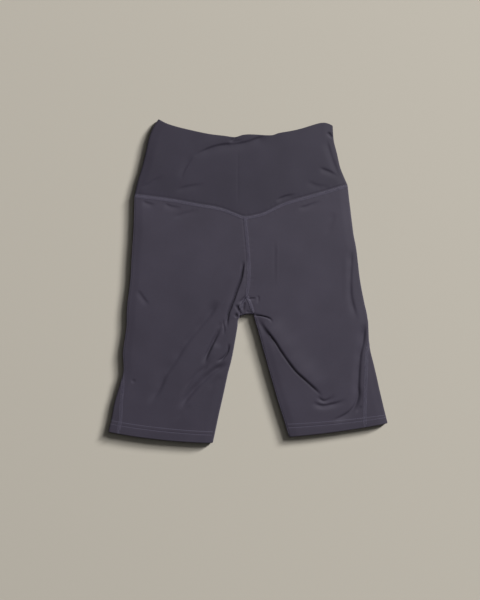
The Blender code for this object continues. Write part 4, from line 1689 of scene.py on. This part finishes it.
@dataclass
class Sewing:
    """All the seams' and hems' stitches.

    The half width is that of each seam, and the yoke seam's stitches lie lower than the seam by the yoke
    down. Threads over a folded edge stand out by the edge rise. The hems have a thicker thread. The
    step is the distance between the points of a line that is sewn along, and the join off keeps a line
    on its own side of a seam. The ends are how far from a seam's end its stitches stop.
    """

    band: Waistband
    legs: dict[Side, Leg]
    gusset: Gusset
    finish: bpy.types.Material
    slot: str = "leg_cloth"
    half_width: float = 2.2
    yoke_down: float = 1.5
    yoke_end: float = 1.2
    edge_rise: float = 0.11
    join_off: float = 0.05
    hem_thread: float = 0.42
    step: float = 1.0
    hem_end: float = 0.4
    leg_end: float = 0.8
    side_start: float = 1.0
    inseam_start: float = 2.0
    centre_ends: tuple[float, float] = (3.0, 0.5)
    gusset_ends: tuple[float, float] = (1.0, 1.6)
    gusset_points: int = 40

    def leg_row(self, face: Face, down: float) -> Array:
        """A line on both legs along the seam under the waistband.

        Args:
            face: The upper or the under face.
            down: Its distance from the seam.

        Returns:
            The points, in order of x.
        """
        sign = face.outward()
        lines = []
        for side in Side:
            tube = self.legs[side].tube(face)
            whole = float(tube.whole(np.array(tube.first - down)))
            arc = np.arange(0.0, whole, self.step)
            line = tube.points(sign * arc, np.full(arc.shape, tube.first - down), 0.0)
            lines.append(line if side is Side.LEFT else line[::-1])
        return np.concatenate(lines)

    def band_row(self, face: Face, up: float) -> Array:
        """A line on the waistband along the seam under it.

        Args:
            face: The upper or the under face.
            up: Its distance from the seam.

        Returns:
            The points, in order of x.
        """
        sign = face.outward()
        tube = self.band.tube(face)
        whole = float(tube.whole(np.array(tube.last - up)))
        arc = np.arange(0.0, whole, self.step)
        return tube.points(sign * arc, np.full(arc.shape, tube.last - up), 0.0)

    def yoke(self, face: Face) -> None:
        """Sews the seam under the waistband.

        Args:
            face: The upper or the under seam.
        """
        sign = face.outward()
        moved = self.yoke_down if face is Face.UPPER else 0.0
        rows = [
            self.band_row(face, self.half_width - moved),
            self.leg_row(face, moved),
            self.leg_row(face, self.half_width + moved),
        ]
        threads = Stitching(f"yoke_stitches_{face.value}")
        start = YOKE_SEAM_UPPER[0][0] + self.yoke_end
        end = YOKE_SEAM_UPPER[-1][0] - self.yoke_end
        threads.flat_seam(between(rows, 0), start, end, sign)
        threads.finish(self.finish, self.slot)

    def centre(self, face: Face) -> None:
        """Sews the centre seam.

        Args:
            face: The upper or the under seam.
        """
        sign = face.outward()
        rows = []
        wide = self.half_width
        for side, off in ((Side.LEFT, wide), (Side.LEFT, self.join_off), (Side.RIGHT, wide)):
            tube = self.legs[side].tube(face)
            station = np.arange(tube.first, APEX[side, face] - self.step / 2, -self.step)
            rows.append(tube.points(sign * (tube.whole(station) - off), station, 0.0))
        threads = Stitching(f"centre_stitches_{face.value}")
        start = min(float(row[:, 1].max()) for row in rows) - self.centre_ends[0]
        end = max(float(row[:, 1].min()) for row in rows) + self.centre_ends[1]
        threads.flat_seam(between(rows, 1), start, end, sign)
        threads.finish(self.finish, self.slot)

    def hems(self, face: Face) -> None:
        """Sews both hems.

        Args:
            face: The upper or the under side.
        """
        threads = Stitching(f"hem_stitches_{face.value}", radius=self.hem_thread)
        sign = face.outward()
        for side in Side:
            tube = self.legs[side].tube(face)
            for up in tube.hem.rows:
                at = tube.last + up
                whole = float(tube.whole(np.array(at)))
                arc = np.arange(self.hem_end, whole - self.hem_end, self.step)
                threads.row(tube.points(sign * arc, np.full(arc.shape, at), 0.0), sign)
        threads.finish(self.finish, self.slot)

    def on_edge(self, tube: LegTube, middle: Callable[[Array], Array], half: float) -> Across:
        """A function that finds points over a seam that lies on one tube.

        Args:
            tube: The tube.
            middle: The seam's arc at each station; at the far end it turns under.
            half: Half the seam's width.

        Returns:
            The function, which takes shares across and stations along.
        """

        def across(share: Array, along: Array) -> Array:
            """Finds points over the seam.

            Args:
                share: Shares across it, from -1 to 1.
                along: Stations along it.

            Returns:
                The points.
            """
            arc = middle(along) + half * share
            whole = tube.whole(along)
            arc = np.where(arc > whole, arc - 2 * whole, arc)
            return tube.points(arc, along, -self.edge_rise)

        return across

    def sides(self) -> None:
        """Sews the two side seams, round the folded edge where the seam has moved over it."""
        for side in Side:
            tube = self.legs[side].tube(Face.UPPER)
            threads = Stitching(f"side_stitches_{side.value}")
            across = self.on_edge(tube, tube.side_seam, self.half_width)
            start, end = tube.first - self.side_start, tube.last + self.leg_end
            threads.flat_seam(across, start, end, Face.UPPER.outward())
            threads.finish(self.finish, self.slot)

    def inseams(self) -> None:
        """Sews the inside seam of each leg, over its folded edge."""
        for side in Side:
            tube = self.legs[side].tube(Face.UPPER)
            threads = Stitching(f"inseam_stitches_{side.value}")
            across = self.on_edge(tube, tube.whole, self.half_width)
            start, end = CROTCH[side] - self.inseam_start, tube.last + self.leg_end
            threads.flat_seam(across, start, end, Face.UPPER.outward())
            threads.finish(self.finish, self.slot)

    def gusset_seams(self) -> None:
        """Sews the gusset's two upper seams."""
        for side in Side:
            tube = self.legs[side].tube(Face.UPPER)
            first = APEX[side, Face.UPPER] + self.gusset_ends[0]
            last = CROTCH[side] + self.gusset_ends[1]
            station = np.linspace(first, last, self.gusset_points)
            whole = tube.whole(station)
            offs = (self.half_width, self.join_off)
            rows = [tube.points(whole - off, station, 0.0) for off in offs]
            rows.append(self.gusset.beside(side, self.half_width, self.gusset_points))
            threads = Stitching(f"gusset_stitches_{side.value}")
            start, end = float(rows[1][0, 1]), float(rows[1][-1, 1])
            threads.flat_seam(between(rows, 1), start, end, Face.UPPER.outward())
            threads.finish(self.finish, self.slot)

    def build(self) -> None:
        """Sews every seam."""
        for face in Face:
            self.yoke(face)
            self.centre(face)
            self.hems(face)
        self.sides()
        self.inseams()
        self.gusset_seams()


@dataclass(frozen=True)
class Lamp:
    """A soft round light: its power in watts, where it stands in degrees and its sizes in metres.

    It is turned from +X towards +Y and raised from the floor.
    """

    name: str
    power: float
    turned: float
    raised: float
    distance: float
    size: float


@dataclass(frozen=True)
class Studio:
    """The floor, the soft lights and the camera straight above, in metres.

    The floor lies just under the cloth, by the floor gap. The view height is what the frame's longer
    side shows at the aim.
    """

    floor_side: float = 6.0
    floor_gap: float = 0.0002
    view_height: float = 0.96
    aim: tuple[float, float, float] = (-0.0126, -0.0304, 0.005)
    lens: float = 50.0
    sensor: float = 36.0
    floor_lights: tuple[Lamp, ...] = (
        Lamp("low_floor_light", 7500.0, 36.0, 12.4, 20.0, 2.1),
        Lamp("mid_floor_light", 5540.0, 36.0, 19.3, 20.0, 4.4),
        Lamp("high_floor_light", 12.0, 36.0, 47.0, 4.0, 2.9),
    )
    cloth_light: Lamp = Lamp("cloth_light", 292.0, 50.0, 42.0, 4.0, 4.3)
    ambient: float = 0.05

    def floor(self) -> None:
        """Lays the floor just under the cloth."""
        mesh = bpy.data.meshes.new("floor")
        bm = bmesh.new()
        bmesh.ops.create_grid(bm, x_segments=1, y_segments=1, size=self.floor_side / 2)
        bm.to_mesh(mesh)
        bm.free()
        floor = bpy.data.objects.new("floor", mesh)
        floor.location = (0.0, 0.0, -self.floor_gap)
        mesh.materials.append(FloorFinish().material())
        bpy.context.scene.collection.objects.link(floor)

    def shine(self, lamp: Lamp, lit: bpy.types.Collection) -> None:
        """Sets one soft light on the upper right.

        Args:
            lamp: The light.
            lit: What it shines on.
        """
        made = bpy.data.lights.new(lamp.name, "AREA")
        made.shape = "DISK"
        made.size = lamp.size
        made.energy = lamp.power
        light = bpy.data.objects.new(lamp.name, made)
        turned, raised = math.radians(lamp.turned), math.radians(lamp.raised)
        flat = math.cos(raised)
        way = Vector((math.cos(turned) * flat, math.sin(turned) * flat, math.sin(raised)))
        light.location = Vector(self.aim) + lamp.distance * way
        light.rotation_euler = way.to_track_quat("Z", "Y").to_euler()
        light.visible_camera = False
        light.light_linking.receiver_collection = lit
        bpy.context.scene.collection.objects.link(light)

    def light(self) -> None:
        """Sets three soft lights for the floor, a large one for the cloth, and light from all round."""
        below = bpy.data.collections.new("floor_only")
        above = bpy.data.collections.new("cloth_only")
        for piece in bpy.context.scene.collection.objects:
            (below if piece.name == "floor" else above).objects.link(piece)
        for lamp in self.floor_lights:
            self.shine(lamp, below)
        self.shine(self.cloth_light, above)
        world = bpy.data.worlds.new("even_light")
        world.use_nodes = True
        world.node_tree.nodes["Background"].inputs["Color"].default_value = (1.0, 1.0, 1.0, 1.0)
        world.node_tree.nodes["Background"].inputs["Strength"].default_value = self.ambient
        bpy.context.scene.world = world

    def camera(self) -> None:
        """Sets the camera straight above, with the photo's frame."""
        lens = bpy.data.cameras.new("camera")
        lens.lens = self.lens
        lens.sensor_width = self.sensor
        camera = bpy.data.objects.new("camera", lens)
        distance = self.view_height * self.lens / self.sensor
        camera.location = (self.aim[0], self.aim[1], self.aim[2] + distance)
        bpy.context.scene.collection.objects.link(camera)
        bpy.context.scene.camera = camera

    def build(self) -> None:
        """Sets up the whole studio."""
        self.floor()
        self.light()
        self.camera()
        bpy.context.scene.view_settings.view_transform = "Standard"
        LOG.info("studio: %d lights", len(self.floor_lights) + 1)


def seam_reliefs() -> list[SeamRelief]:
    """Sets the relief along each upper seam.

    Returns:
        One relief for the yoke seam, the centre seam and each gusset seam.
    """
    centre = tuple((x, y) for y, x in CENTRE_SEAM_UPPER)
    left, right = smooth_path(LEFT_GUSSET_SEAM), smooth_path(RIGHT_GUSSET_SEAM)
    return [
        SeamRelief(smooth_path(YOKE_SEAM_UPPER), (0.0, 2.4), sink=0.5, turned=0.4),
        SeamRelief(smooth_path(centre), (-3.4, 0.0), turned=2.1),
        SeamRelief(right, (3.2, 0.0), ridge=0.5, ridge_width=2.4, sink=0.3, sink_width=1.2, pucker=0.0),
        SeamRelief(left, (0.0, 0.0), ridge=0.0, ridge_width=2.4, sink=0.8, sink_width=1.8, pucker=0.0),
    ]


def main() -> None:
    """Builds the shorts and the studio."""
    logging.basicConfig(level=logging.INFO, format="%(message)s")
    band_finish = KnitFinish("band_knit", (0.0315, 0.0270, 0.0410)).material()
    leg_finish = KnitFinish("leg_knit", (0.0420, 0.0362, 0.0528)).material()
    thread = ThreadFinish("seam_thread", (0.090, 0.078, 0.124)).material()
    relief = Relief(BAND_FOLDS + LEFT_FOLDS + CROTCH_FOLDS + RIGHT_FOLDS, seam_reliefs())
    band = Waistband(relief, band_finish)
    band.build()
    legs = {side: Leg(side, relief, leg_finish) for side in Side}
    for leg in legs.values():
        leg.build()
    gusset = Gusset(legs, relief, leg_finish)
    gusset.build()
    Sewing(band, legs, gusset, thread).build()
    Studio().build()


if __name__ == "__main__":
    main()
